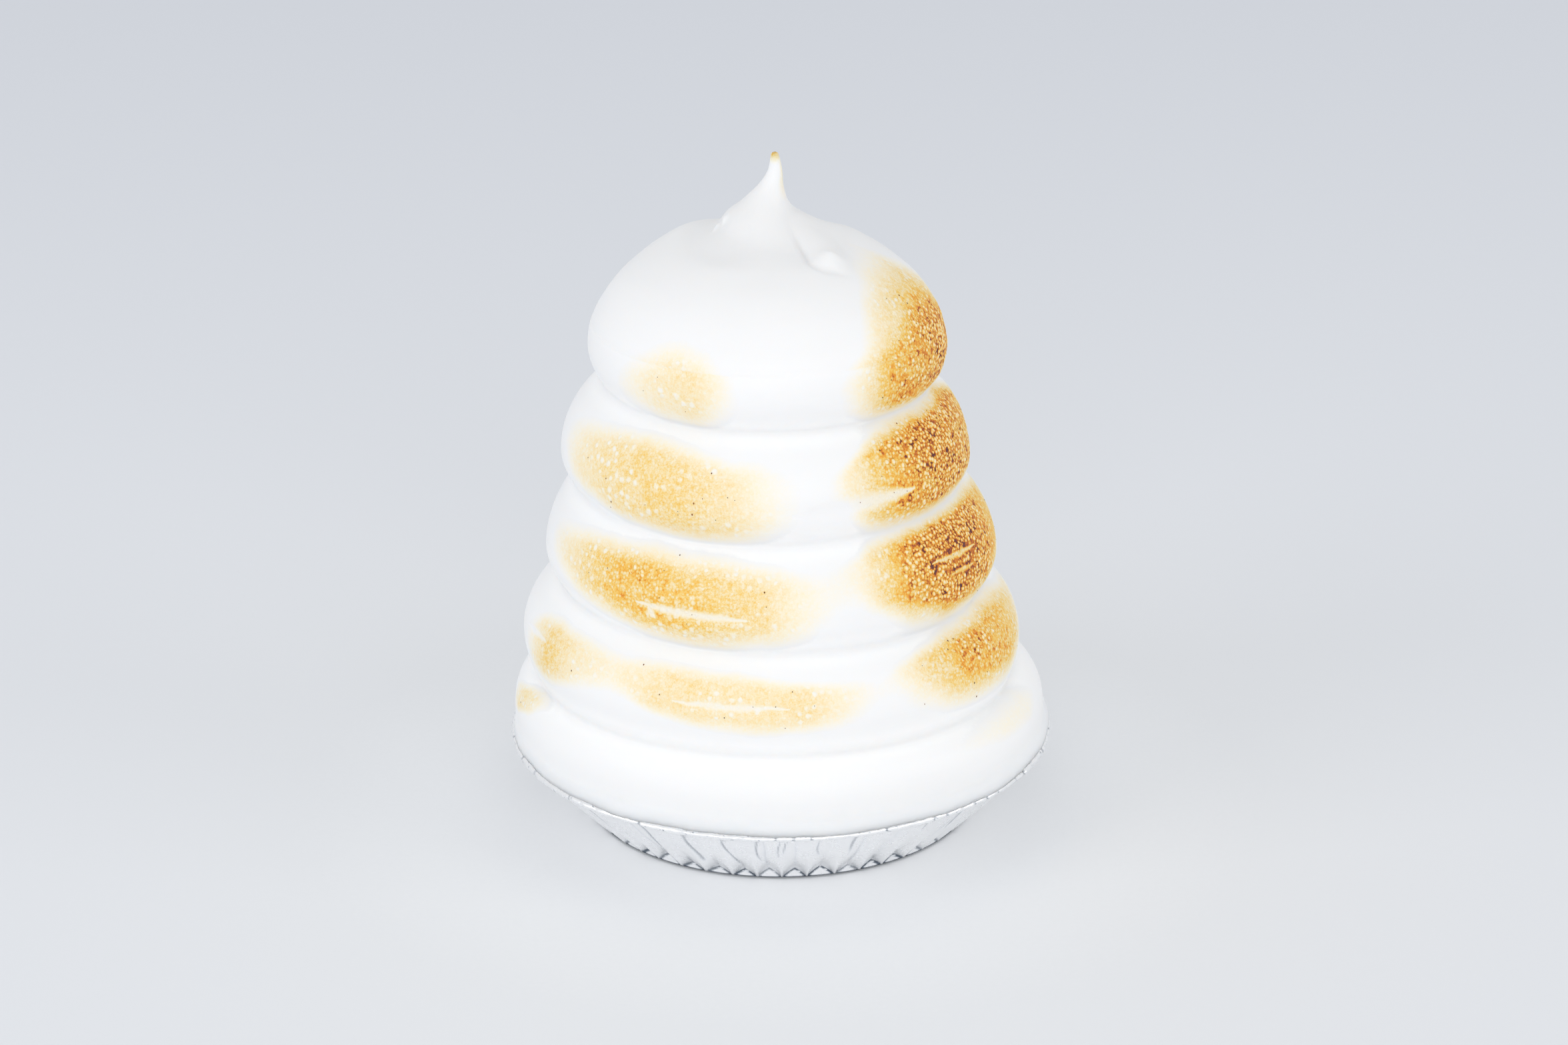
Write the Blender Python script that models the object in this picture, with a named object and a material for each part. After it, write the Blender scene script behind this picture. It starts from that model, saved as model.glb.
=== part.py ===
"""A torched meringue tower, piped as five stacked rings with a pulled peak, in a pleated foil tart pan.

Metres, +Z up. The origin is the centre of the pan's underside, on the table. The fold beside the peak
is at +X, and the front is at -Y.
"""

import math

import bpy

MM = 0.001

# The foil tart pan: a 4-3/8 inch pan, 111 mm across its rolled bead.
RIM_RADIUS = 55.5 * MM
BEAD_RADIUS = 0.75 * MM
BEAD_HEIGHT = 15.95 * MM  # centre of the rolled bead
BASE_RADIUS = 39.8 * MM
BASE_CORNER = 1.0 * MM  # how far in from there the flat underside ends
FOIL = 0.35 * MM  # as modelled: real foil with its pleats is about as thick
PLEATS = 54
PLEAT_DEPTH = 0.5 * MM
PAN_COLUMNS = 2 * PLEATS
WALL_ROWS = 3
BEAD_ROWS = 5

# The piped rings, top first. "outer" is the widest radius, "depth" how far the bulge stands out from its
# creases, "above" and "below" its half heights, "squareness" its superellipse power (2 is an ellipse),
# "shift" its sideways offset, and "tilt" how far its +X and +Y sides are raised.
RINGS = [
    {"outer": 35.55, "height": 98.7, "depth": 13.3, "above": 13.9, "below": 10.6, "squareness": 2.05,
     "shift": -2.16, "tilt": (-0.23, -0.05)},
    {"outer": 41.0, "height": 76.8, "depth": 16.2, "above": 16.6, "below": 10.2, "squareness": 1.95,
     "shift": -2.53, "tilt": (-0.46, 0.3)},
    {"outer": 45.4, "height": 56.2, "depth": 16.0, "above": 19.3, "below": 12.0, "squareness": 1.7,
     "shift": -1.70, "tilt": (-1.0, 0.8)},
    {"outer": 50.6, "height": 37.6, "depth": 11.0, "above": 12.4, "below": 12.7, "squareness": 1.9,
     "shift": -1.62, "tilt": (-1.0, -0.35)},
    {"outer": 54.35, "height": 20.6, "depth": 7.0, "above": 9.2, "below": 8.2, "squareness": 2.45,
     "shift": -0.31, "tilt": (-0.4, -0.9)},
]
RING_ROWS = 6
SHOULDER_TURN = math.radians(18)  # where the top ring's bulge takes over from the dome's outline

# The top: radius and height from the dome's shoulder up to the pulled tip, in mm.
TIP_HEIGHT = 137.6 * MM
TOP_OUTLINE = [
    (33.5, 106.3), (30.0, 111.1), (25.0, 115.3), (19.5, 118.2), (14.0, 119.3),
    (10.0, 121.2), (7.0, 124.6), (4.5, 128.1), (2.8, 131.0), (1.6, 133.6), (0.75, 136.3),
]
TIP_LEAN = 2.5 * MM  # the tip's offset towards +X from the top ring's own centre
LEAN_POWER = 4.6  # only the last of the peak leans

# The last of the piping: a fold that runs down from the peak's right side and ends in a round nub.
FOLD_START = (4.0 * MM, -3.5 * MM)
FOLD_END = (11.2 * MM, -13.2 * MM)
FOLD_WIDTH = 4.2 * MM
FOLD_RISE = 1.5 * MM

CLEARANCE = 0.32 * MM  # between the meringue and the foil
TOWER_COLUMNS = 72
BISECTIONS = 40

SNOW_WHITE = (0.93, 0.93, 0.92, 1.0)
FOIL_SILVER = (0.80, 0.81, 0.82, 1.0)


def material(name, colour, roughness, metallic):
    made = bpy.data.materials.new(name)
    made.use_nodes = True
    shader = made.node_tree.nodes["Principled BSDF"]
    shader.inputs["Base Color"].default_value = colour
    shader.inputs["Roughness"].default_value = roughness
    shader.inputs["Metallic"].default_value = metallic
    made.diffuse_color = colour
    return made


def turned_body(name, rows, columns, finish, parent):
    """A closed body from rows of rings, with its first and last points on the axis.

    rows[0] and rows[-1] are single points, and each row between holds one point for each column. The rows
    run from the top down the outside, so the faces point out.
    """
    vertices = [rows[0]]
    for row in rows[1:-1]:
        vertices.extend(row)
    vertices.append(rows[-1])
    last = len(vertices) - 1
    rings = len(rows) - 2

    def at(ring, column):
        return 1 + ring * columns + column % columns

    faces = []
    for column in range(columns):
        faces.append((0, at(0, column), at(0, column + 1)))
        faces.append((last, at(rings - 1, column + 1), at(rings - 1, column)))
        for ring in range(rings - 1):
            faces.append((at(ring, column), at(ring + 1, column), at(ring + 1, column + 1), at(ring, column + 1)))
    mesh = bpy.data.meshes.new(name)
    mesh.from_pydata(vertices, [], faces)
    mesh.validate()
    mesh.shade_smooth()
    mesh.set_sharp_from_angle(angle=math.radians(50))
    mesh.materials.append(finish)
    body = bpy.data.objects.new(name, mesh)
    bpy.context.collection.objects.link(body)
    body.parent = parent
    return body


def angles(columns):
    return [2 * math.pi * column / columns for column in range(columns)]


def polar(radius, angle, height):
    return (radius * math.cos(angle), radius * math.sin(angle), height)


# The pan's wall: a straight cone between the base's edge and the bead.
WALL_FOOT = (BASE_RADIUS, 0.75 * MM)
WALL_HEAD = (RIM_RADIUS - 2 * BEAD_RADIUS + 0.1 * MM, BEAD_HEIGHT - 0.5 * MM)  # just inside the bead
WALL_RUN = WALL_HEAD[0] - WALL_FOOT[0]
WALL_RISE = WALL_HEAD[1] - WALL_FOOT[1]
WALL_LENGTH = math.hypot(WALL_RUN, WALL_RISE)
WALL_NORMAL = (WALL_RISE / WALL_LENGTH, -WALL_RUN / WALL_LENGTH)  # out and down


def wall_point(share, outwards):
    """A point of the wall, share of the way up, moved outwards along its normal."""
    radius = WALL_FOOT[0] + share * WALL_RUN + outwards * WALL_NORMAL[0]
    height = WALL_FOOT[1] + share * WALL_RISE + outwards * WALL_NORMAL[1]
    return radius, height


def pleated_row(share, side):
    """One ring of the wall. side is +1 for its outside and -1 for its inside."""
    depth = PLEAT_DEPTH * min(1.0, 2.5 * (1.0 - share))  # the pleats fade into the bead
    row = []
    for column, angle in enumerate(angles(PAN_COLUMNS)):
        fold = depth / 2 if column % 2 else -depth / 2
        radius, height = wall_point(share, side * FOIL / 2 + fold)
        row.append(polar(radius, angle, height))
    return row


def plain_row(radius, height, columns=PAN_COLUMNS):
    return [polar(radius, angle, height) for angle in angles(columns)]


def foil_pan_rows():
    """From the inside's centre, out over the floor, up the wall, round the bead, and back underneath."""
    rows = [(0.0, 0.0, FOIL), plain_row(BASE_RADIUS - BASE_CORNER, FOIL)]
    shares = [(step + 0.25) / WALL_ROWS for step in range(WALL_ROWS)]
    rows += [pleated_row(share, -1) for share in shares]
    bead = (RIM_RADIUS - BEAD_RADIUS, BEAD_HEIGHT)
    first, last = math.pi, math.radians(-120)
    for step in range(BEAD_ROWS + 1):
        turn = first + (last - first) * step / BEAD_ROWS
        rows.append(plain_row(bead[0] + BEAD_RADIUS * math.cos(turn), bead[1] + BEAD_RADIUS * math.sin(turn)))
    rows += [pleated_row(share, 1) for share in reversed(shares)]
    rows += [plain_row(BASE_RADIUS - BASE_CORNER, 0.0), (0.0, 0.0, 0.0)]
    return rows


def ring_point(ring, angle, turn):
    """Radius and height of a ring's bulge. turn runs from 90 degrees, its top, to -90, its bottom."""
    power = 2.0 / ring["squareness"]
    across = abs(math.cos(turn)) ** power
    up = math.copysign(abs(math.sin(turn)) ** power, math.sin(turn))
    reach = ring["above"] if up > 0 else ring["below"]
    tilt = ring["tilt"][0] * math.cos(angle) + ring["tilt"][1] * math.sin(angle)
    radius = ring["outer"] - ring["depth"] * (1 - across) + ring["shift"] * math.cos(angle)
    return radius * MM, (ring["height"] + reach * up + tilt) * MM


def turn_at(ring, angle, height, side):
    """The turn at which a ring's upper (side 1) or lower (side -1) half is at a height."""
    middle = ring_point(ring, angle, 0.0)[1]
    reach = (ring["above"] if side > 0 else ring["below"]) * MM
    up = min(1.0, max(0.0, side * (height - middle) / reach))
    return side * math.asin(up ** (ring["squareness"] / 2))


def crease_turns(upper, lower, angle):
    """Where two rings meet, by bisection: the turn on the upper's underside and on the lower's shoulder."""
    low = ring_point(upper, angle, -math.pi / 2)[1]
    high = ring_point(lower, angle, math.pi / 2)[1]
    for _ in range(BISECTIONS):
        middle = (low + high) / 2
        under, shoulder = turn_at(upper, angle, middle, -1), turn_at(lower, angle, middle, 1)
        if ring_point(upper, angle, under)[0] < ring_point(lower, angle, shoulder)[0]:
            low = middle
        else:
            high = middle
    return under, shoulder


def fold_rise(x, y):
    """How far the fold beside the peak stands up over a place: a round-ended ridge."""
    along = (FOLD_END[0] - FOLD_START[0], FOLD_END[1] - FOLD_START[1])
    share = ((x - FOLD_START[0]) * along[0] + (y - FOLD_START[1]) * along[1]) / (along[0] ** 2 + along[1] ** 2)
    share = min(1.0, max(0.0, share))
    near = math.hypot(x - FOLD_START[0] - share * along[0], y - FOLD_START[1] - share * along[1])
    return FOLD_RISE * share * math.cos(math.pi / 2 * min(1.0, near / FOLD_WIDTH)) ** 2


def top_row(radius, height):
    """One ring of the dome or the peak, leaning with height."""
    ring = RINGS[0]
    share = (height - ring["height"]) / (TIP_HEIGHT / MM - ring["height"])
    centre = ring["shift"] * MM + TIP_LEAN * share ** LEAN_POWER
    row = []
    for angle in angles(TOWER_COLUMNS):
        x, y, _ = polar(radius * MM, angle, 0)
        row.append((x + centre, y, height * MM + fold_rise(x + centre, y)))
    return row


def fill_radius(height):
    """The widest that the meringue may be at a height inside the pan, clear of its pleats."""
    share = (height - WALL_FOOT[1]) / WALL_RISE
    inside = FOIL / 2 + PLEAT_DEPTH / 2 + CLEARANCE
    return WALL_FOOT[0] + share * WALL_RUN - inside * WALL_LENGTH / WALL_RISE


def meringue_rows():
    rows = [(RINGS[0]["shift"] * MM + TIP_LEAN, 0.0, TIP_HEIGHT)]
    rows += [top_row(radius, height) for radius, height in reversed(TOP_OUTLINE)]
    over_bead = BEAD_HEIGHT + BEAD_RADIUS + CLEARANCE
    columns = []
    for angle in angles(TOWER_COLUMNS):
        joins = [crease_turns(upper, lower, angle) for upper, lower in zip(RINGS, RINGS[1:])]
        starts = [SHOULDER_TURN] + [lower for _, lower in joins]
        ends = [upper for upper, _ in joins] + [turn_at(RINGS[-1], angle, over_bead, -1)]
        column = []
        for ring, start, end in zip(RINGS, starts, ends):
            for step in range(RING_ROWS + 1):
                if step == 0 and ring is not RINGS[0]:
                    continue  # the crease is the last row of the ring above
                turn = start + (end - start) * step / RING_ROWS
                radius, height = ring_point(ring, angle, turn)
                column.append(polar(radius, angle, height))
        columns.append(column)
    rows += [list(row) for row in zip(*columns)]
    beside_bead = RIM_RADIUS - 2 * BEAD_RADIUS - CLEARANCE
    under_bead = BEAD_HEIGHT - 2 * BEAD_RADIUS
    floor = FOIL + CLEARANCE
    rows.append(plain_row(beside_bead, BEAD_HEIGHT + BEAD_RADIUS / 2, TOWER_COLUMNS))
    rows.append(plain_row(fill_radius(under_bead), under_bead, TOWER_COLUMNS))
    rows.append(plain_row(fill_radius(2 * floor), 2 * floor, TOWER_COLUMNS))
    rows.append(plain_row(fill_radius(2 * floor) - floor, floor, TOWER_COLUMNS))
    rows.append((0.0, 0.0, floor))
    return rows


def main():
    for old in list(bpy.data.objects):
        bpy.data.objects.remove(old, do_unlink=True)
    tart = bpy.data.objects.new("tart", None)
    bpy.context.collection.objects.link(tart)
    foil = material("foil", FOIL_SILVER, 0.32, 1.0)
    meringue = material("meringue", SNOW_WHITE, 0.55, 0.0)
    turned_body("foil_pan", foil_pan_rows(), PAN_COLUMNS, foil, tart)
    turned_body("meringue", meringue_rows(), TOWER_COLUMNS, meringue, tart)


main()
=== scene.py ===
import math

import bpy
import numpy as np
from mathutils import Matrix, Vector


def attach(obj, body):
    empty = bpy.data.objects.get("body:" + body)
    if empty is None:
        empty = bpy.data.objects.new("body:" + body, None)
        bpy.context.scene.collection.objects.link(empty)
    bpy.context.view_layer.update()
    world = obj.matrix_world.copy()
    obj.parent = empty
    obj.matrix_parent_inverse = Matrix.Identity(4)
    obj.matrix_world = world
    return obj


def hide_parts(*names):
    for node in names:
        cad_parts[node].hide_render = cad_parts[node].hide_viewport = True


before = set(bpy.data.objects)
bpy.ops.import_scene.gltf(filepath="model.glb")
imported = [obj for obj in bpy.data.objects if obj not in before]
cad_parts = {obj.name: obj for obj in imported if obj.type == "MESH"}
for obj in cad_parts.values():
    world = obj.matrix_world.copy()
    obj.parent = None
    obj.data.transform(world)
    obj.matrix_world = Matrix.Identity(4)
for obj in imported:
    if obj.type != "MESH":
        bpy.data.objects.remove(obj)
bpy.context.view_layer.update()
mm = 0.001
print("frame loaded")

# Shapes are worked out in millimetres and turned into metres where a mesh is made. An azimuth is in degrees
# round the tower: 0 is the front (-Y), 90 the right (+X), 180 the back.


def smoothStep(low, high, value):
    share = np.clip((value - low) / (high - low), 0, 1)
    return share * share * (3 - 2 * share)


def hump(value, middle, width):
    return np.exp(-((value - middle) / width) ** 2)


# Soft noise from -1 to 1 that closes up round the tower: so many cells round, each so long upwards.
def roundNoise(seed, cells, length, turn, along):
    rng = np.random.default_rng(seed)
    rows = int(np.ceil((along.max() - along.min()) / length)) + 3
    values = rng.uniform(-1, 1, (rows, cells))
    a = (turn % 1.0) * cells
    b = (along - along.min()) / length
    i, j = np.floor(a).astype(int), np.floor(b).astype(int)
    fa, fb = a - i, b - j
    fa, fb = fa * fa * (3 - 2 * fa), fb * fb * (3 - 2 * fb)
    i0, i1 = i % cells, (i + 1) % cells
    low = values[j, i0] * (1 - fa) + values[j, i1] * fa
    high = values[j + 1, i0] * (1 - fa) + values[j + 1, i1] * fa
    return low * (1 - fb) + high * fb


# A turned mesh from points[row, column]. Its rows run from one end of the axis to the other, down the
# outside, and each end closes on one point.
def gridMesh(name, points, firstEnd, lastEnd):
    rows, columns = points.shape[:2]
    corner = np.arange(rows * columns).reshape(rows, columns)
    right = np.roll(corner, -1, axis=1)
    faces = np.stack([corner[:-1], corner[1:], right[1:], right[:-1]], axis=-1).reshape(-1, 4).tolist()
    first, last = rows * columns, rows * columns + 1
    faces += [[first, int(corner[0, c]), int(right[0, c])] for c in range(columns)]
    faces += [[last, int(right[-1, c]), int(corner[-1, c])] for c in range(columns)]
    vertices = np.concatenate([points.reshape(-1, 3), [firstEnd, lastEnd]])
    mesh = bpy.data.meshes.new(name)
    mesh.from_pydata((vertices * mm).tolist(), [], faces)
    mesh.shade_smooth()
    return mesh


def addObject(name, data):
    made = bpy.data.objects.new(name, data)
    bpy.context.collection.objects.link(made)
    return made


def storeNumbers(mesh, name, values):
    layer = mesh.attributes.new(name, "FLOAT", "POINT")
    layer.data.foreach_set("value", np.asarray(values, dtype=np.float32).ravel())


# Sets a node's input by name or number, from a plain value or from the socket that feeds it.
def feed(tree, node, key, value):
    if isinstance(value, bpy.types.NodeSocket):
        tree.links.new(value, node.inputs[key])
    elif value is not None:
        node.inputs[key].default_value = value


def place(tree, kind, settings=None, inputs=None):
    node = tree.nodes.new(kind)
    for key, value in (settings or {}).items():
        setattr(node, key, value)
    for key, value in (inputs or {}).items():
        feed(tree, node, key, value)
    return node


def calc(tree, operation, *values, clamp=False):
    return place(tree, "ShaderNodeMath", {"operation": operation, "use_clamp": clamp},
                 dict(enumerate(values))).outputs[0]


def calcVector(tree, operation, *values, scale=None):
    node = place(tree, "ShaderNodeVectorMath", {"operation": operation}, dict(enumerate(values)))
    feed(tree, node, "Scale", scale)
    return node.outputs["Value" if operation == "LENGTH" else "Vector"]


def times(tree, product, *values):
    for value in values:
        product = calc(tree, "MULTIPLY", product, value)
    return product


# What a share leaves of the whole.
def remainder(tree, share, clamp=False):
    return calc(tree, "SUBTRACT", 1.0, share, clamp=clamp)


def diagonal(tree, across, up):
    return calc(tree, "SQRT", calc(tree, "MULTIPLY_ADD", across, across, times(tree, up, up)))


# 0 below low, 1 above high, with a soft passage between them.
def passage(tree, value, low, high):
    return place(tree, "ShaderNodeMapRange", {"interpolation_type": "SMOOTHSTEP"},
                 {"Value": value, "From Min": low, "From Max": high}).outputs["Result"]


def axes(tree, vector):
    return place(tree, "ShaderNodeSeparateXYZ", None, {"Vector": vector}).outputs


def joinAxes(tree, x=None, y=None, z=None):
    return place(tree, "ShaderNodeCombineXYZ", None, {"X": x, "Y": y, "Z": z}).outputs[0]


def noise(tree, where, scale, detail=2.0, roughness=0.5):
    return place(tree, "ShaderNodeTexNoise", None,
                 {"Vector": where, "Scale": scale, "Detail": detail, "Roughness": roughness}).outputs["Fac"]


# Noise that goes as far below 0 as above it.
def unevenness(tree, *settings):
    return calc(tree, "SUBTRACT", noise(tree, *settings), 0.5)


# A sideways push of up to half the reach, different from place to place.
def shove(tree, where, scale, reach):
    cloud = place(tree, "ShaderNodeTexNoise", None, {"Vector": where, "Scale": scale, "Detail": 1.0})
    way = calcVector(tree, "SUBTRACT", cloud.outputs["Color"], (0.5, 0.5, 0.5))
    return calcVector(tree, "SCALE", way, scale=reach)


# A colour as a screen shows it, 0 to 255, in the linear values that a shader takes.
def screenColour(*channels):
    shares = [channel / 255 for channel in channels]
    return tuple(c / 12.92 if c <= 0.04045 else ((c + 0.055) / 1.055) ** 2.4 for c in shares) + (1.0,)


def colourScale(tree, value, stops):
    node = tree.nodes.new("ShaderNodeValToRGB")
    elements = node.color_ramp.elements
    elements.remove(elements[-1])
    elements[0].position, elements[0].color = stops[0]
    for position, colour in stops[1:]:
        elements.new(position).color = colour
    tree.links.new(value, node.inputs["Fac"])
    return node.outputs["Color"]


# A new material, its tree and shader, and the object's own coordinates in metres.
def newMaterial(name):
    material = bpy.data.materials.new(name)
    material.use_nodes = True
    tree = material.node_tree
    where = tree.nodes.new("ShaderNodeTexCoord").outputs["Object"]
    return material, tree, tree.nodes["Principled BSDF"], where


# What is stored on the mesh, for a material or a Geometry Nodes tree.
def stored(tree, name, kind="FLOAT"):
    if tree.bl_idname == "ShaderNodeTree":
        return place(tree, "ShaderNodeAttribute", {"attribute_name": name}).outputs["Fac"]
    return place(tree, "GeometryNodeInputNamedAttribute", {"data_type": kind}, {"Name": name}).outputs[0]


def storeField(tree, geometry, name, value, kind="FLOAT"):
    return place(tree, "GeometryNodeStoreNamedAttribute", {"data_type": kind, "domain": "POINT"},
                 {"Geometry": geometry, "Name": name, "Value": value}).outputs[0]


# Relief, in shares of a height in m.
def addBump(tree, shader, relief, strength, height):
    bump = place(tree, "ShaderNodeBump", None, {"Height": relief, "Strength": strength, "Distance": height})
    tree.links.new(bump.outputs["Normal"], shader.inputs["Normal"])


# An empty Geometry Nodes tree with its inputs and a mesh on either side.
def newGeometryTree(name, inputs):
    tree = bpy.data.node_groups.new(name, "GeometryNodeTree")
    tree.interface.new_socket("Geometry", in_out="INPUT", socket_type="NodeSocketGeometry")
    tree.interface.new_socket("Geometry", in_out="OUTPUT", socket_type="NodeSocketGeometry")
    for label, value in inputs.items():
        kind = "NodeSocketInt" if isinstance(value, int) else "NodeSocketFloat"
        tree.interface.new_socket(label, in_out="INPUT", socket_type=kind).default_value = value
    return tree, tree.nodes.new("NodeGroupInput").outputs


def finishGeometryTree(tree, geometry, material):
    real = place(tree, "GeometryNodeRealizeInstances", None, {"Geometry": geometry}).outputs[0]
    coloured = place(tree, "GeometryNodeSetMaterial", None, {"Geometry": real, "Material": material})
    tree.links.new(coloured.outputs[0], tree.nodes.new("NodeGroupOutput").inputs[0])


# A random number for each point; salt keeps several of them apart.
def randomNumber(tree, seed, salt, low=0.0, high=1.0, number=None):
    node = place(tree, "FunctionNodeRandomValue", {"data_type": "FLOAT"})
    salted = calc(tree, "ADD", seed, float(salt)) if salt else seed
    wanted = {"Min": low, "Max": high, "ID": number, "Seed": salted}
    for index, socket in enumerate(node.inputs):
        if socket.enabled and socket.name in wanted:
            feed(tree, node, index, wanted[socket.name])
    return next(socket for socket in node.outputs if socket.enabled)


# Runs a tree over a mesh with the given sizes and hands back a plain object of what it made.
def growObject(name, mesh, tree, sizes):
    carrier = addObject(name + "_carrier", mesh)
    modifier = carrier.modifiers.new("grow", "NODES")
    modifier.node_group = tree
    for item in tree.interface.items_tree:
        if item.in_out == "INPUT" and item.name in sizes:
            modifier[item.identifier] = sizes[item.name]
    carrier.update_tag()
    seen = carrier.evaluated_get(bpy.context.evaluated_depsgraph_get())
    made = bpy.data.meshes.new_from_object(seen)
    bpy.data.objects.remove(carrier)
    made.name = name
    return addObject(name, made)


cameraView = {
    "lens": 85.0,            # mm, on a 36 mm wide sensor
    "place": (0.93, -696.0, 335.7),
    "downwards": 21.61,      # degrees below level
    "roll": -0.41,
}


def makeCamera():
    data = bpy.data.cameras.new("camera")
    data.lens = cameraView["lens"]
    data.sensor_width = 36.0
    data.clip_start = 0.01
    data.clip_end = 50.0
    camera = addObject("camera", data)
    pitch, roll = math.radians(cameraView["downwards"]), math.radians(cameraView["roll"])
    right, up = Vector((1, 0, 0)), Vector((0, math.sin(pitch), math.cos(pitch)))
    turned = right * math.cos(roll) + up * math.sin(roll)
    upright = up * math.cos(roll) - right * math.sin(roll)
    columns = (turned, upright, turned.cross(upright), Vector(cameraView["place"]) * mm)
    camera.matrix_world = Matrix([[column[row] for column in columns] for row in range(3)] + [[0, 0, 0, 1]])
    bpy.context.scene.camera = camera


studio = {
    "floorSize": 8.0,        # m
    "floorDrop": 0.0002,     # m below the pan
    "paintedLightNear": screenColour(251, 252, 253),    # painted light: the floor beside the pan, made brighter against its shadow
    "floorColour": screenColour(231, 233, 236),
    # painted shade: the floor darker far from the pan
    "paintedShadeFar": screenColour(221, 224, 230),
    "paintedLightReach": (0.03, 0.10, 0.75),             # m from the pan's centre where each of them is
    "paperGrain": 0.048,     # how uneven the paper is, and the grain's scale
    "paperScale": 900.0,
    "skyColour": (0.962, 0.978, 1.0, 1.0),
    "skyStrength": 0.80,
    "lamps": [
        # name, place (m), looks at (m), size (m), power (W), colour
        ("frontSoftbox", (0.2, -1.7, 0.62), (0, 0, 0.05), (1.6, 0.9), 6.8, (1.0, 0.985, 0.965)),
        ("leftSoftbox", (-1.4, -0.8, 0.7), (0, 0, 0.05), (1.0, 1.0), 6.0, (0.99, 0.99, 1.0)),
        ("rightSoftbox", (1.5, -0.6, 0.7), (0, 0, 0.05), (1.0, 1.0), 4.2, (1.0, 0.985, 0.96)),
    ],
}


def makeFloor():
    half = studio["floorSize"] / 2
    corners = [(-half, -half, 0), (half, -half, 0), (half, half, 0), (-half, half, 0)]
    mesh = bpy.data.meshes.new("floor")
    mesh.from_pydata(corners, [], [(0, 1, 2, 3)])
    material, tree, shader, where = newMaterial("floorPaperPaintedLight")
    # painted light and shade: the floor's colour runs from bright beside the pan to darker far from it
    near, middle, far = studio["paintedLightReach"]
    away = calc(tree, "LOGARITHM", calcVector(tree, "LENGTH", where), far / near)
    away = calc(tree, "SUBTRACT", away, math.log(near, far / near))
    grain = unevenness(tree, where, studio["paperScale"])
    spot = calc(tree, "MULTIPLY_ADD", grain, studio["paperGrain"], away)
    stops = [(0.0, studio["paintedLightNear"]), (math.log(middle / near, far / near), studio["floorColour"]),
             (1.0, studio["paintedShadeFar"])]
    feed(tree, shader, "Base Color", colourScale(tree, spot, stops))
    feed(tree, shader, "Roughness", 0.75)
    feed(tree, shader, "Specular IOR Level", 0.25)
    mesh.materials.append(material)
    floor = addObject("floor", mesh)
    floor.location.z = -studio["floorDrop"]


def makeLight():
    scene = bpy.context.scene
    scene.view_settings.view_transform = "Standard"
    scene.view_settings.look = "None"
    scene.world = bpy.data.worlds.new("studio")
    scene.world.use_nodes = True
    sky = scene.world.node_tree.nodes["Background"]
    sky.inputs["Color"].default_value = studio["skyColour"]
    sky.inputs["Strength"].default_value = studio["skyStrength"]
    for name, spot, target, size, power, colour in studio["lamps"]:
        data = bpy.data.lights.new(name, "AREA")
        data.shape = "RECTANGLE"
        data.size, data.size_y = size
        data.energy = power
        data.color = colour
        lamp = addObject(name, data)
        lamp.location = spot
        lamp.rotation_euler = (Vector(target) - Vector(spot)).to_track_quat("-Z", "Y").to_euler()


makeCamera()
makeLight()
makeFloor()
print("camera and studio made")

tower = {
    # top ring first: widest radius, height of its widest part, how deep its creases are, half heights above
    # and below, superellipse power, sideways shift, and how far its right and back sides are raised
    "rings": [
        {"outer": 35.55, "height": 98.7, "depth": 13.3, "above": 13.9, "below": 10.6, "squareness": 2.05,
         "shift": -2.16, "tilt": (-0.23, -0.05)},
        {"outer": 41.0, "height": 76.8, "depth": 16.2, "above": 16.6, "below": 10.2, "squareness": 1.95,
         "shift": -2.53, "tilt": (-0.46, 0.3)},
        {"outer": 45.4, "height": 56.2, "depth": 16.0, "above": 19.3, "below": 12.0, "squareness": 1.7,
         "shift": -1.70, "tilt": (-1.0, 0.8)},
        {"outer": 50.6, "height": 37.6, "depth": 11.0, "above": 12.4, "below": 12.7, "squareness": 1.9,
         "shift": -1.62, "tilt": (-1.0, -0.35)},
        {"outer": 54.35, "height": 20.6, "depth": 7.0, "above": 9.2, "below": 8.2, "squareness": 2.45,
         "shift": -0.31, "tilt": (-0.4, -0.9)},
    ],
    # the dome and the pulled peak: radius and height
    "outline": [(33.5, 106.3), (30.0, 111.1), (25.0, 115.3), (19.5, 118.2), (14.6, 119.3), (10.6, 121.2),
                (7.2, 124.6), (4.3, 128.1), (2.45, 131.0), (1.5, 133.6), (0.98, 136.1)],
    "shoulderTurn": 20,        # degrees up from the top ring's widest part, where the outline ends
    "tipHeight": 137.6,
    "tipRound": 0.8,
    # how far the peak leans to the right at a height, from the dome up
    "lean": [(113.0, 0.0), (118.0, 0.3), (121.5, 0.2), (123.5, -0.3), (125.5, -0.6), (128.0, -0.1),
             (131.0, 1.0), (134.0, 1.85), (137.6, 1.8)],
    "footHeight": 16.42,       # where the lowest ring meets the rolled rim
    "footRadius": 55.08,
    # inside the pan, from the foot down: radius and height
    "fill": [(54.5, 16.1), (53.3, 15.5), (51.2, 14.0), (44.5, 8.4), (37.6, 1.8), (36.6, 0.9)],
    "columns": 336,
    "topRows": 118,
    "ringRows": 33,
    "creaseRounds": 5,         # passes that round the creases
}

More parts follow.
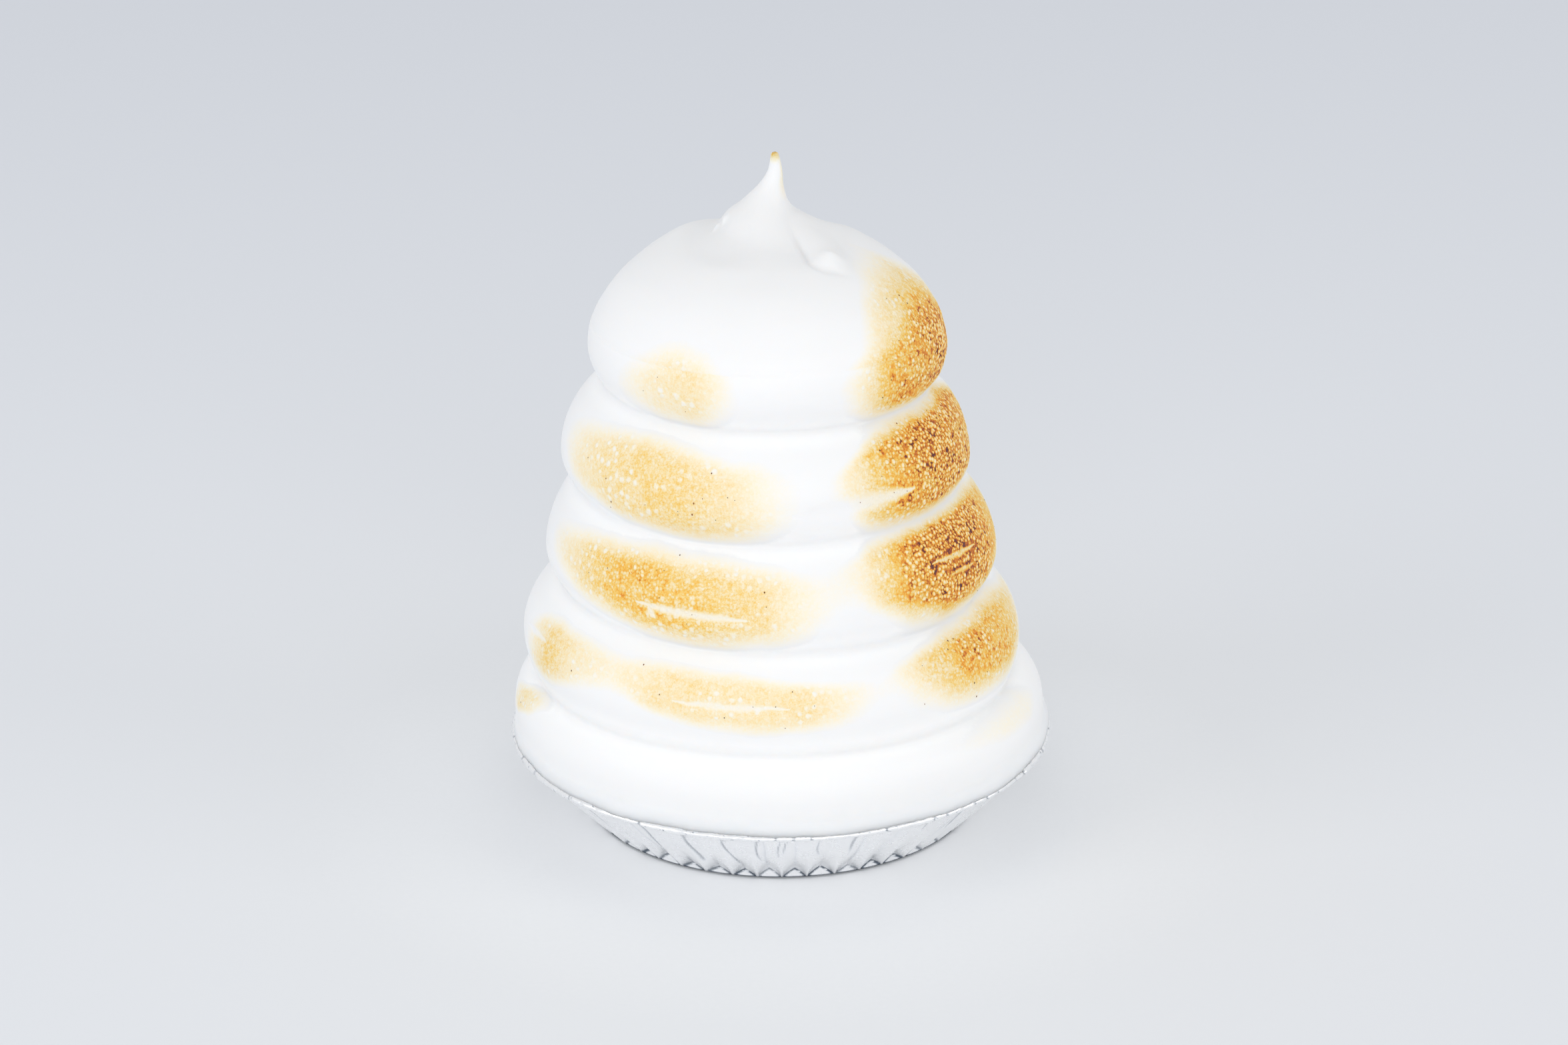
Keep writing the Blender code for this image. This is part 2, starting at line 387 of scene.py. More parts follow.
# Nothing piped by hand is quite round. Each layer of unevenness has a seed, so many soft waves round the
# tower, a length upwards in mm, and a size in mm, or in degrees where a patch strays sideways.
handWork = {
    "girth": [(3, 7, 16.0, 0.28), (4, 17, 8.0, 0.12)],
    "foot": [(5, 46, 40.0, 0.24), (6, 17, 40.0, 0.24)],
    "patchSideways": [(31, 30, 6.0, 2.0), (32, 75, 3.0, 0.4)],
    "patchUpwards": [(33, 34, 5.0, 0.4), (34, 90, 2.2, 0.2)],
    "crust": [(23, 168, 1.5, 0.09)],
    "drag": [(21, 26, 1.7, 0.10)],        # lines that the nozzle drew, climbing so many mm in one turn
    "dragClimb": 3,
    "dragPatches": [(22, 9, 12.0, 1.0)],  # and where they are strongest
    "calmPeak": (2.0, 16.0),   # the unevenness dies away towards the axis, between these radii in mm
    "calmFoot": (17.0, 21.0),  # and towards the foot, between these heights
}

# Between these two heights in mm one part of the top passes into the next.
blends = {
    "foot": (17.2, 20.0),
    "dome": (107.0, 113.0),
    "fold": (112.0, 115.0),
    "peak": (124.0, 128.0),
}

# Soft swells on the dome, in mm: place, half widths, rise.
swells = [
    ((10.5, 3.5), (6.5, 9.0), 1.9),        # the peak's right flank runs on into the dome
    ((-16.5, 8.0), (9.5, 11.0), 1.8),      # left shoulder
    ((-2.0, -14.5), (9.0, 3.2), 0.55),     # foot of the peak at the front
    ((-3.0, -21.0), (11.0, 2.6), -0.22),   # and the dip in front of it
]

# The last of the piping: a tongue that runs down from the peak's right flank and ends round, steep on the
# left and at its end, and melting into the dome on the right.
fold = {
    "route": [(5.6, -3.6), (7.4, -6.6), (8.8, -9.6), (9.6, -12.0)],
    "steepWidth": 3.6,
    "softWidth": 5.6,
    "rise": 1.15,
    "nub": (10.3, -12.2, 2.1, 0.80),       # the pearl at its end: place, radius, rise
    "seam": (0.40, 0.75, 0.38),            # the seam outside its steep edge: distance, half width, depth
    "grow": (-0.25, 0.55),                 # shares of its length between which it rises from the flank
    "softSide": (1.0, 0.45),               # it melts away towards the right and, less, the back
    "steepPower": 0.75,                    # how its rise falls off, on its steep side
    "softPower": 1.4,                      # and how much sooner on its soft side
}

# Small drops of foam that stayed on the skin: azimuth, height, half sizes across and up, rise.
drops = [(-75.2, 124.0, 0.62, 0.85, 0.6), (-83.0, 122.0, 0.62, 0.8, 0.55), (-32.3, 57.2, 0.8, 1.1, 0.5)]

# Pale streaks where the browned skin was drawn away: both ends as azimuth and height, the half width in mm
# and how strong they are.
streaks = [
    (4.0, 77.2, 42.0, 78.6, 1.9, 1.0),
    (-37.0, 58.4, -8.0, 57.5, 1.0, 1.0),
    (-33.6, 58.0, -31.4, 56.3, 0.9, 1.0),
    (45.0, 62.9, 66.0, 62.0, 0.60, 0.75),
    (51.5, 59.5, 62.0, 59.1, 0.50, 0.6),
    (-78.0, 42.8, -65.5, 43.4, 0.75, 0.9),
    (-24.0, 41.5, 2.0, 41.3, 0.75, 0.85),
    (41.5, 42.9, 46.5, 42.0, 0.50, 0.5),
    (148.0, 62.4, 171.0, 61.2, 0.80, 0.9),
    (-131.0, 80.6, -112.0, 79.4, 0.75, 0.9),
    (133.0, 42.0, 149.0, 41.2, 0.65, 0.8),
]

streakGroove = {
    "depth": 0.25,          # mm
    "width": 1.2,           # half width, in half widths of the streak
    "endDepth": 0.3,        # share of the depth that is left at its ends
    "bare": (0.2, 0.8),     # mm beside a streak between which the big blisters start
}

# Where the torch went. Each patch lies on one ring (0 is the top one) and is drawn by stations from left to
# right: azimuth, lower edge, upper edge, strength. Its lower and upper edges fade over so many mm.
patches = [
    {"ring": 0, "fade": (4.5, 9.0), "stations": [
        (24, 93, 109, 0), (31, 92, 112, 0.06), (38, 91.2, 115, 0.18), (45, 90.8, 118, 0.30),
        (52, 90.5, 119.5, 0.37), (60, 90.5, 120.3, 0.44), (70, 90.5, 120.6, 0.50), (80, 91, 120.6, 0.50),
        (92, 94, 118, 0.42), (106, 96, 113, 0.3), (124, 98, 106, 0)]},
    {"ring": 0, "fade": (4.5, 6.0), "stations": [
        (13, 94, 104, 0), (19, 92, 105, 0.04), (25, 91.5, 106, 0.15), (31, 90.5, 107, 0.30),
        (37, 90, 107.5, 0.42), (43, 90, 107.7, 0.45), (52, 90, 110, 0.40), (62, 90.4, 113, 0.40),
        (72, 90.6, 113, 0.40), (84, 91, 112, 0.36), (98, 95, 108, 0.22), (110, 98, 104, 0)]},
    {"ring": 0, "fade": (7.0, 9.0), "stations": [
        (-60, 92, 104, 0), (-50, 90, 107, 0.13), (-42, 89.5, 109, 0.26), (-34, 89.5, 110.5, 0.32),
        (-27, 89.5, 111, 0.33), (-20, 90, 110, 0.23), (-13, 91, 108, 0.07), (-7, 93, 104, 0)]},
    {"ring": 1, "fade": (5.5, 3.2), "stations": [
        (9, 76, 85, 0), (15, 74.5, 86, 0.08), (21, 72, 87.5, 0.30), (27, 70.6, 89, 0.50),
        (34, 70, 90, 0.60), (42, 69.8, 90.8, 0.67), (50, 69.8, 91, 0.72), (60, 70.4, 91.1, 0.74),
        (70, 71.5, 91.1, 0.72), (80, 72, 91.8, 0.68), (92, 74, 90.5, 0.58), (106, 76, 88, 0.36),
        (118, 79, 86, 0)]},
    {"ring": 1, "fade": (7.0, 5.5), "stations": [
        (-84, 79, 89, 0), (-76, 76.5, 90, 0.08), (-70, 74.5, 90.4, 0.22), (-62, 72.5, 90.6, 0.31),
        (-54, 71, 90.8, 0.36), (-46, 70, 90.8, 0.41), (-38, 69, 91, 0.44), (-30, 68.5, 90.6, 0.44),
        (-22, 68, 90, 0.42), (-14, 68, 89, 0.34), (-6, 69, 88.4, 0.23), (1, 70, 88, 0.1),
        (9, 72, 86, 0)]},
    {"ring": 2, "fade": (8.0, 6.0), "stations": [
        (-84, 60, 67.5, 0), (-77, 57.5, 68.5, 0.07), (-70, 55, 69, 0.21), (-63, 53.8, 69.3, 0.33),
        (-56, 52.4, 69.5, 0.42), (-49, 51.2, 69.8, 0.50), (-42, 50, 70.1, 0.55), (-35, 48.8, 70.4, 0.55),
        (-28, 48.4, 70.2, 0.53), (-21, 47.8, 69.9, 0.50), (-14, 48, 69.6, 0.46), (-7, 48.6, 69, 0.41),
        (0, 49, 68.8, 0.31), (7, 50.5, 68.3, 0.2), (14, 53, 68, 0.09), (21, 56, 67, 0)]},
    {"ring": 2, "fade": (8.5, 3.2), "stations": [
        (12, 58, 67, 0), (17, 56.5, 68, 0.09), (22, 55, 68.8, 0.20), (28, 53.2, 69.6, 0.42),
        (35, 50.6, 70.1, 0.60), (42, 49.5, 70.4, 0.72), (50, 48.2, 70.6, 0.77), (60, 48.2, 70.7, 0.79),
        (70, 48.5, 70.7, 0.76), (78, 50, 70.6, 0.66), (88, 52, 70.2, 0.52), (102, 55.5, 69, 0.34),
        (116, 60, 66, 0)]},
    {"ring": 3, "fade": (5.0, 3.5), "stations": [
        (-82, 38, 46, 0), (-76, 35.5, 48, 0.09), (-70, 33.5, 49, 0.28), (-63, 33.8, 49.3, 0.42),
        (-56, 35.5, 49.2, 0.34), (-49, 37.5, 49, 0.25), (-42, 39, 48.8, 0.21), (-35, 38.5, 48.7, 0.26),
        (-28, 36.5, 48.7, 0.33), (-18, 34.8, 48.5, 0.35), (-7, 34.5, 48, 0.32), (0, 34.5, 47.6, 0.32),
        (7, 34.5, 47, 0.36), (14, 35.5, 46.6, 0.22), (21, 37, 46, 0.1), (27, 39, 45, 0)]},
    {"ring": 3, "fade": (9.0, 3.2), "stations": [
        (22, 37, 46, 0), (28, 35.5, 47.3, 0.16), (35, 34.5, 48, 0.36), (42, 33, 48.6, 0.50),
        (50, 32, 49, 0.60), (60, 31.5, 49.2, 0.62), (70, 31, 49.2, 0.58), (78, 31.5, 49, 0.50),
        (86, 33, 48.5, 0.38), (98, 37, 47.5, 0.25), (110, 40, 46, 0)]},
    {"ring": 4, "fade": (2.6, 2.0), "stations": [
        (-90, 24, 28, 0), (-84, 22.3, 29.3, 0.2), (-77, 22.8, 30.5, 0.36), (-70, 25, 31, 0.28),
        (-63, 27.5, 31, 0.07), (-58, 28, 30, 0)]},
    {"ring": 4, "fade": (4.0, 4.0), "stations": [
        (34, 26, 30, 0), (46, 24.5, 31, 0.09), (58, 23, 31.5, 0.15), (72, 22.5, 31.5, 0.14),
        (85, 25, 30, 0)]},
    # cream in the creases between the patches on the right
    {"ring": 0, "fade": (2.5, 5.0), "stations": [
        (24, 84, 96, 0), (38, 84, 97, 0.06), (78, 84, 97, 0.06), (96, 84, 96, 0)]},
    {"ring": 1, "fade": (2.5, 5.0), "stations": [
        (20, 64, 76, 0), (36, 64, 77, 0.13), (80, 64, 77, 0.12), (98, 64, 76, 0)]},
    {"ring": 1, "fade": (5.0, 1.5), "stations": [
        (24, 84, 96, 0), (40, 84, 96, 0.12), (82, 84, 96, 0.14), (98, 84, 96, 0)]},
    {"ring": 2, "fade": (3.0, 5.0), "stations": [
        (26, 44, 58, 0), (44, 44, 58, 0.10), (82, 44, 58, 0.14), (98, 44, 58, 0)]},
    {"ring": 2, "fade": (5.0, 1.5), "stations": [
        (22, 64, 76, 0), (40, 64, 76, 0.10), (82, 64, 76, 0.14), (98, 64, 76, 0)]},
    {"ring": 3, "fade": (5.0, 1.5), "stations": [
        (34, 44, 54, 0), (48, 44, 54, 0.04), (82, 44, 54, 0.06), (98, 44, 54, 0)]},
    # the rest go on round the back in the same way
    {"ring": 0, "fade": (3.0, 6.0), "stations": [
        (130, 97, 104, 0), (140, 94, 111, 0.4), (151, 92, 115, 0.58), (165, 92.5, 113, 0.52),
        (181, 95, 108, 0.3), (193, 98, 104, 0)]},
    {"ring": 0, "fade": (3.0, 5.0), "stations": [
        (-151, 97, 103, 0), (-139, 93.5, 109, 0.32), (-125, 92.5, 111, 0.46), (-109, 94, 109, 0.36),
        (-96, 97, 105, 0)]},
    {"ring": 1, "fade": (4.5, 3.0), "stations": [
        (121, 79, 86, 0), (133, 74.5, 89, 0.42), (146, 72.5, 90.5, 0.58), (159, 73, 90, 0.52),
        (171, 75, 88, 0.34), (185, 78, 85, 0)]},
    {"ring": 1, "fade": (5.0, 3.0), "stations": [
        (-160, 78, 86, 0), (-147, 73.5, 90, 0.44), (-131, 71.8, 90.8, 0.64), (-114, 72.5, 90.5, 0.57),
        (-100, 76, 88, 0.3), (-91, 79, 85, 0)]},
    {"ring": 2, "fade": (5.0, 2.8), "stations": [
        (123, 58, 66, 0), (137, 53.5, 69.5, 0.42), (152, 51, 70.5, 0.66), (168, 50.5, 70.5, 0.74),
        (184, 52.5, 69.5, 0.6), (198, 56, 67, 0.36), (210, 59, 64, 0)]},
    {"ring": 2, "fade": (4.0, 3.5), "stations": [
        (-143, 58, 65, 0), (-132, 54, 68.5, 0.34), (-118, 52, 70, 0.52), (-104, 53.5, 69.5, 0.42),
        (-92, 57, 66, 0)]},
    {"ring": 3, "fade": (4.0, 3.0), "stations": [
        (117, 40, 46, 0), (130, 36.5, 48.2, 0.38), (144, 34, 48.8, 0.57), (158, 35, 48.8, 0.5),
        (172, 37.5, 48, 0.3), (186, 38, 47.5, 0.22), (200, 36, 48.2, 0.42), (216, 35, 48.6, 0.5),
        (230, 37, 47.5, 0.3), (242, 40, 46, 0)]},
    {"ring": 4, "fade": (2.4, 2.4), "stations": [
        (130, 25, 28, 0), (142, 23, 30.5, 0.32), (156, 24, 30.5, 0.24), (168, 26, 29, 0)]},
    {"ring": 4, "fade": (2.4, 2.4), "stations": [
        (-151, 25, 28, 0), (-138, 23, 30, 0.38), (-126, 24, 30, 0.32), (-115, 26, 29, 0)]},
]

# Darker middles of patches: ring, azimuth, height, half widths in degrees and mm, strength.
cores = [
    (0, 73, 100.5, 11, 7.0, 0.16), (0, 48, 97.0, 8, 3.5, 0.07), (1, 55, 86.5, 17, 4.0, 0.09),
    (1, 60, 80.0, 12, 4.0, 0.06), (2, 50, 64.0, 12, 5.0, 0.06), (2, 62, 58.0, 10, 4.0, 0.05),
    (3, -62, 42.0, 7, 4.0, 0.06), (3, 56, 44.5, 14, 3.0, 0.05), (2, -40, 64.0, 16, 3.0, 0.06),
    (1, -128, 83.0, 14, 6.0, 0.10), (2, 166, 63.0, 16, 6.0, 0.10),
]

toast = {
    "creaseFade": 0.05,     # the share of a ring beside each crease that is paler
    "creaseLeft": 0.55,     # and what is left of the browning in the crease
    "creaseGlow": 3.0,      # mm beside a crease where painted light makes the white paler
    "tip": (134.6, 138.0),  # the peak browns between these heights
    "tipStrength": 0.56,
    "line": (126.0, 133.0),     # and a faint line down its right side fades in between these
    "lineStrength": 0.26,
    "lineSide": (72, 32),   # its azimuth and half width in degrees
}


# Degrees from one azimuth to another, by the shorter way round.
def turnFrom(azimuth, azimuths):
    return (azimuths - azimuth + 180) % 360 - 180


def layered(layers, turn, along):
    return sum(roundNoise(seed, cells, length, turn, along) * size for seed, cells, length, size in layers)


# How far a ring's side is raised or lowered at an angle.
def ringTilt(ring, angle):
    return ring["tilt"][0] * np.cos(angle) + ring["tilt"][1] * np.sin(angle)


def ringPoint(ring, angle, turn):
    power = 2.0 / ring["squareness"]
    across = np.abs(np.cos(turn)) ** power
    up = np.sign(np.sin(turn)) * np.abs(np.sin(turn)) ** power
    reach = np.where(up > 0, ring["above"], ring["below"])
    radius = ring["outer"] - ring["depth"] * (1 - across) + ring["shift"] * np.cos(angle)
    return radius, ring["height"] + reach * up + ringTilt(ring, angle)


# The turn at which a ring's upper (side 1) or lower (side -1) half is at a height.
def turnAt(ring, angle, height, side):
    reach = ring["above"] if side > 0 else ring["below"]
    up = np.clip(side * (height - ring["height"] - ringTilt(ring, angle)) / reach, 0, 1)
    return side * np.arcsin(up ** (ring["squareness"] / 2.0))


# Where two rings meet, as the turn of each: found by halving the gap between them.
def creaseTurns(upper, lower, angle):
    low = ringPoint(upper, angle, np.full_like(angle, -math.pi / 2))[1]
    high = ringPoint(lower, angle, np.full_like(angle, math.pi / 2))[1]
    for _ in range(40):
        middle = (low + high) / 2
        inside = (ringPoint(upper, angle, turnAt(upper, angle, middle, -1))[0]
                  < ringPoint(lower, angle, turnAt(lower, angle, middle, 1))[0])
        low = np.where(inside, middle, low)
        high = np.where(inside, high, middle)
    return turnAt(upper, angle, middle, -1), turnAt(lower, angle, middle, 1)


# A curve through a few points, with count points evenly along it.
def smoothCurve(points, count):
    points = np.array(points)
    padded = np.vstack([2 * points[0] - points[1], points, 2 * points[-1] - points[-2]])
    dense = []
    for k in range(1, len(padded) - 2):
        p0, p1, p2, p3 = padded[k - 1:k + 3]
        t = np.linspace(0, 1, 40, endpoint=False)[:, None]
        dense.append(0.5 * (2 * p1 + (p2 - p0) * t + (2 * p0 - 5 * p1 + 4 * p2 - p3) * t ** 2
                            + (3 * p1 - p0 - 3 * p2 + p3) * t ** 3))
    dense = np.vstack(dense + [points[-1:]])
    run = np.concatenate([[0], np.cumsum(np.hypot(*np.diff(dense, axis=0).T))])
    spots = np.linspace(0, run[-1], count)
    return np.stack([np.interp(spots, run, dense[:, 0]), np.interp(spots, run, dense[:, 1])], axis=-1)


def evenRows(radius, height, count):
    steps = np.hypot(np.diff(radius, axis=0), np.diff(height, axis=0))
    run = np.concatenate([np.zeros((1, radius.shape[1])), np.cumsum(steps, axis=0)])
    newRadius, newHeight = np.empty((count, radius.shape[1])), np.empty((count, radius.shape[1]))
    for column in range(radius.shape[1]):
        spots = np.linspace(0, run[-1, column], count)
        newRadius[:, column] = np.interp(spots, run[:, column], radius[:, column])
        newHeight[:, column] = np.interp(spots, run[:, column], height[:, column])
    return newRadius, newHeight


# The top's outline from the tip, which is a small dome, down to the first ring's shoulder.
def topCurve():
    tip = [(0.02, 0.0)] + [(math.sin(turn), math.cos(turn) - 1) for turn in map(math.radians, (32, 62, 86))]
    tip = [(tower["tipRound"] * r, tower["tipHeight"] + tower["tipRound"] * z) for r, z in tip]
    sideways, start = np.array([math.pi / 2]), np.array([math.radians(tower["shoulderTurn"])])
    shoulder = [float(value[0]) for value in ringPoint(tower["rings"][0], sideways, start)]
    return smoothCurve(tip + tower["outline"][::-1] + [shoulder], tower["topRows"])


# Softens the sharp join of two rings, a few rows at a time.
def roundCreases(field, creases):
    for crease in creases:
        near = slice(crease - 2, crease + 3)
        field[near] = (field[crease - 3:crease + 2] + 2 * field[near] + field[crease - 1:crease + 4]) / 4


# Radius, height, sideways shift, ring number and share of the ring for each row and column, from the tip
# down.
def towerProfile():
    columns, rings = tower["columns"], tower["rings"]
    angle = np.arange(columns) * 2 * math.pi / columns
    joins = [creaseTurns(upper, lower, angle) for upper, lower in zip(rings, rings[1:])]
    turnShare = np.linspace(0, 1, 60)[:, None]
    start = math.radians(tower["shoulderTurn"])
    curve = topCurve()
    radii, heights = [np.repeat(curve[:, :1], columns, axis=1)], [np.repeat(curve[:, 1:], columns, axis=1)]
    numbers, shares, creases = [0] * len(curve), [0.5] * len(curve), []
    lean = smoothCurve(tower["lean"], 80)
    lean = rings[0]["shift"] + np.interp(curve[:, 1], lean[:, 0], lean[:, 1])
    shifts = [np.repeat(lean[:, None], columns, axis=1)]
    for k, ring in enumerate(rings):
        first = np.full(columns, start) if k == 0 else joins[k - 1][1]
        last = joins[k][0] if k < len(joins) else turnAt(ring, angle, tower["footHeight"], -1)
        radius, height = ringPoint(ring, angle, first + (last - first) * turnShare)
        radius, height = evenRows(radius, height, tower["ringRows"] + 1)
        radii.append(radius[1:])
        heights.append(height[1:])
        numbers += [k] * tower["ringRows"]
        share = np.arange(1, tower["ringRows"] + 1) / tower["ringRows"]
        shares += list(share if k else 0.5 + 0.5 * share)
        creases.append(len(numbers) - 1)
        shifts.append(np.zeros((tower["ringRows"], columns)))
    radius, height, shift = np.vstack(radii), np.vstack(heights), np.vstack(shifts)
    for _ in range(tower["creaseRounds"]):
        roundCreases(radius, creases[:-1])
        roundCreases(height, creases[:-1])
    return angle, radius, height, shift, np.array(numbers), np.array(shares)


# How far the last fold stands above the dome at a place.
def foldRise(x, y):
    route = smoothCurve(fold["route"], 80)
    away, grown, dx, dy = np.full_like(x, 1e9), np.zeros_like(x), np.zeros_like(x), np.zeros_like(x)
    for step, (px, py) in enumerate(route):
        far = np.hypot(x - px, y - py)
        nearer = far < away
        grown[nearer], dx[nearer], dy[nearer] = step / (len(route) - 1), (x - px)[nearer], (y - py)[nearer]
        away = np.minimum(away, far)
    right, back = fold["softSide"]
    soft = smoothStep(-0.15, 0.9, (right * dx + back * dy) / np.maximum(away, 0.3))
    width = fold["steepWidth"] + (fold["softWidth"] - fold["steepWidth"]) * soft
    grown = smoothStep(*fold["grow"], grown)
    tongue = np.clip(1 - (away / width) ** 2, 0, 1) ** (fold["steepPower"] + fold["softPower"] * soft)
    nubX, nubY, radius, nubRise = fold["nub"]
    nub = np.exp(-(np.hypot(x - nubX, y - nubY) / radius) ** 2)
    gap, seamWidth, depth = fold["seam"]
    seam = hump(away, width + gap, seamWidth) * (1 - soft)
    return grown * (fold["rise"] * tongue - depth * seam) + nubRise * nub


# How strongly each place was torched, 0 to 1 and a little over.
def patchField(azimuths, heights, numbers, shares):
    white = np.ones_like(azimuths)
    for patch in patches:
        spots, low, high, strength = np.array(patch["stations"], dtype=float).T
        around = (azimuths - spots[0] + 40) % 360 + spots[0] - 40
        strengthHere = np.interp(around, spots, strength)
        strengthHere = strengthHere * (around > spots[0]) * (around < spots[-1])
        lowFade, highFade = patch["fade"]
        edges = (smoothStep(0, lowFade, heights - np.interp(around, spots, low))
                 * smoothStep(0, highFade, np.interp(around, spots, high) - heights))
        white *= 1 - np.where(numbers == patch["ring"], strengthHere * edges, 0)
    field = 1 - white
    for ring, azimuth, height, halfWidth, halfHeight, strength in cores:
        away = np.hypot(turnFrom(azimuth, azimuths) / halfWidth, (heights - height) / halfHeight)
        field += np.where(numbers == ring, strength * (1 - smoothStep(0.1, 1.0, away)) * (field > 0.05), 0)
    fade, left = toast["creaseFade"], toast["creaseLeft"]
    inside = smoothStep(0.0, fade, shares) * (1 - smoothStep(1 - fade, 1.0, shares))
    return field * (left + (1 - left) * inside)


# Distance in mm along the skin from the nearest crease.
def creaseAway(points, rings):
    steps = np.linalg.norm(np.diff(points, axis=0, append=points[-1:]), axis=-1)
    away = np.empty_like(steps)
    for number in range(len(tower["rings"])):
        here = rings[:, 0] == number
        run = np.cumsum(steps[here], axis=0)
        away[here] = np.minimum(run, run[-1:] - run) if number else run[-1:] - run
    return away


# Distance in mm from a streak's line, and how far along it a place is, 0 to 1.
def streakPlace(azimuths, heights, radius, streak):
    azimuth, height, lastAzimuth, lastHeight = streak[:4]
    reach = math.radians(1) * radius
    dx, dz = (lastAzimuth - azimuth) * reach, lastHeight - height
    across, up = turnFrom(azimuth, azimuths) * reach, heights - height
    share = np.clip((across * dx + up * dz) / (dx * dx + dz * dz), 0, 1)
    return np.hypot(across - share * dx, up - share * dz), share


# Two maps of the skin. "skin": across is the azimuth, one full turn being 1, and up is the height in
# decimetres. "pores": across and up are metres along the surface.
def storeMaps(mesh, azimuths, heights, girths, runs):
    corners = np.empty(len(mesh.loops), dtype=np.int64)
    starts = np.empty(len(mesh.polygons), dtype=np.int64)
    totals = np.empty(len(mesh.polygons), dtype=np.int64)
    mesh.loops.foreach_get("vertex_index", corners)
    mesh.polygons.foreach_get("loop_start", starts)
    mesh.polygons.foreach_get("loop_total", totals)
    face = np.repeat(np.arange(len(starts)), totals)
    across = azimuths[corners] / 360 + 0.5
    widest = np.zeros(len(starts))
    np.maximum.at(widest, face, across)
    across = np.where(widest[face] - across > 0.5, across + 1.0, across)   # faces over the join at the back
    for name, x, y in (("skin", across, heights[corners] / 100),
                       ("pores", across * girths[corners] * mm, runs[corners] * mm)):
        layer = mesh.uv_layers.new(name=name)
        layer.data.foreach_set("uv", np.stack([x, y], axis=-1).ravel().astype(np.float32))


# The smooth tower: rings, dome, peak and fold.
def piledPoints(angle, radius, height, shift, turn):
    calm = smoothStep(*handWork["calmPeak"], radius) * smoothStep(*handWork["calmFoot"], height)
    radius = radius + calm * layered(handWork["girth"], turn, height)
    lapped = tower["footRadius"] + layered(handWork["foot"], turn, height)
    radius += (lapped - radius) * (1 - smoothStep(*blends["foot"], height))
    points = np.stack([radius * np.cos(angle) + shift, radius * np.sin(angle), height], axis=-1)
    x, y, onDome = points[..., 0], points[..., 1], smoothStep(*blends["dome"], height)
    rise = foldRise(x, y) * smoothStep(*blends["fold"], height)
    for (cx, cy), (wx, wy), amount in swells:
        rise += amount * np.exp(-((x - cx) / wx) ** 2 - ((y - cy) / wy) ** 2) * onDome
    points[..., 2] += rise * (1 - smoothStep(*blends["peak"], height))
    return points, radius, calm


# How brown each place is: the patches, the tip of the peak and the line down its side.
def brownField(azimuths, height, turn, ring, share):
    strayed = azimuths + layered(handWork["patchSideways"], turn, height)
    lifted = height + layered(handWork["patchUpwards"], turn, height)
    tip = toast["tipStrength"] * smoothStep(*toast["tip"], height)
    line = toast["lineStrength"] * smoothStep(*toast["line"], height) * hump(azimuths, *toast["lineSide"])
    return np.maximum(patchField(strayed, lifted, ring, share), np.maximum(tip, line))


# Fine relief in mm along the normals, and how bare the streaks leave the skin.
def skinRelief(azimuths, radius, height, turn, browned, calm):
    drag = layered(handWork["drag"], turn, height + handWork["dragClimb"] * turn)
    out = drag * layered(handWork["dragPatches"], turn, height) * calm
    out += layered(handWork["crust"], turn, height) * smoothStep(0.3, 0.8, browned)
    bare = np.zeros_like(radius)
    for streak in streaks:
        halfWidth, strength = streak[4:]
        away, part = streakPlace(azimuths, height, radius, streak)
        ends = smoothStep(0.0, 0.15, part) * (1 - smoothStep(0.85, 1.0, part))
        ends = streakGroove["endDepth"] + (1 - streakGroove["endDepth"]) * ends
        out -= streakGroove["depth"] * strength * hump(away, 0, halfWidth * streakGroove["width"]) * ends
        bare = np.maximum(bare, 1 - smoothStep(*streakGroove["bare"], away - halfWidth))
    for azimuth, middle, across, up, rise in drops:
        sideways = turnFrom(azimuth, azimuths) * math.radians(1) * radius
        out += rise * np.exp(-(sideways / across) ** 2 - ((height - middle) / up) ** 2)
    return out, bare


def skinNormals(points):
    around = (np.roll(points, -1, axis=1) - np.roll(points, 1, axis=1)) / 2
    normal = np.cross(np.gradient(points, axis=0), around)
    return normal / np.maximum(np.linalg.norm(normal, axis=-1, keepdims=True), 1e-9)


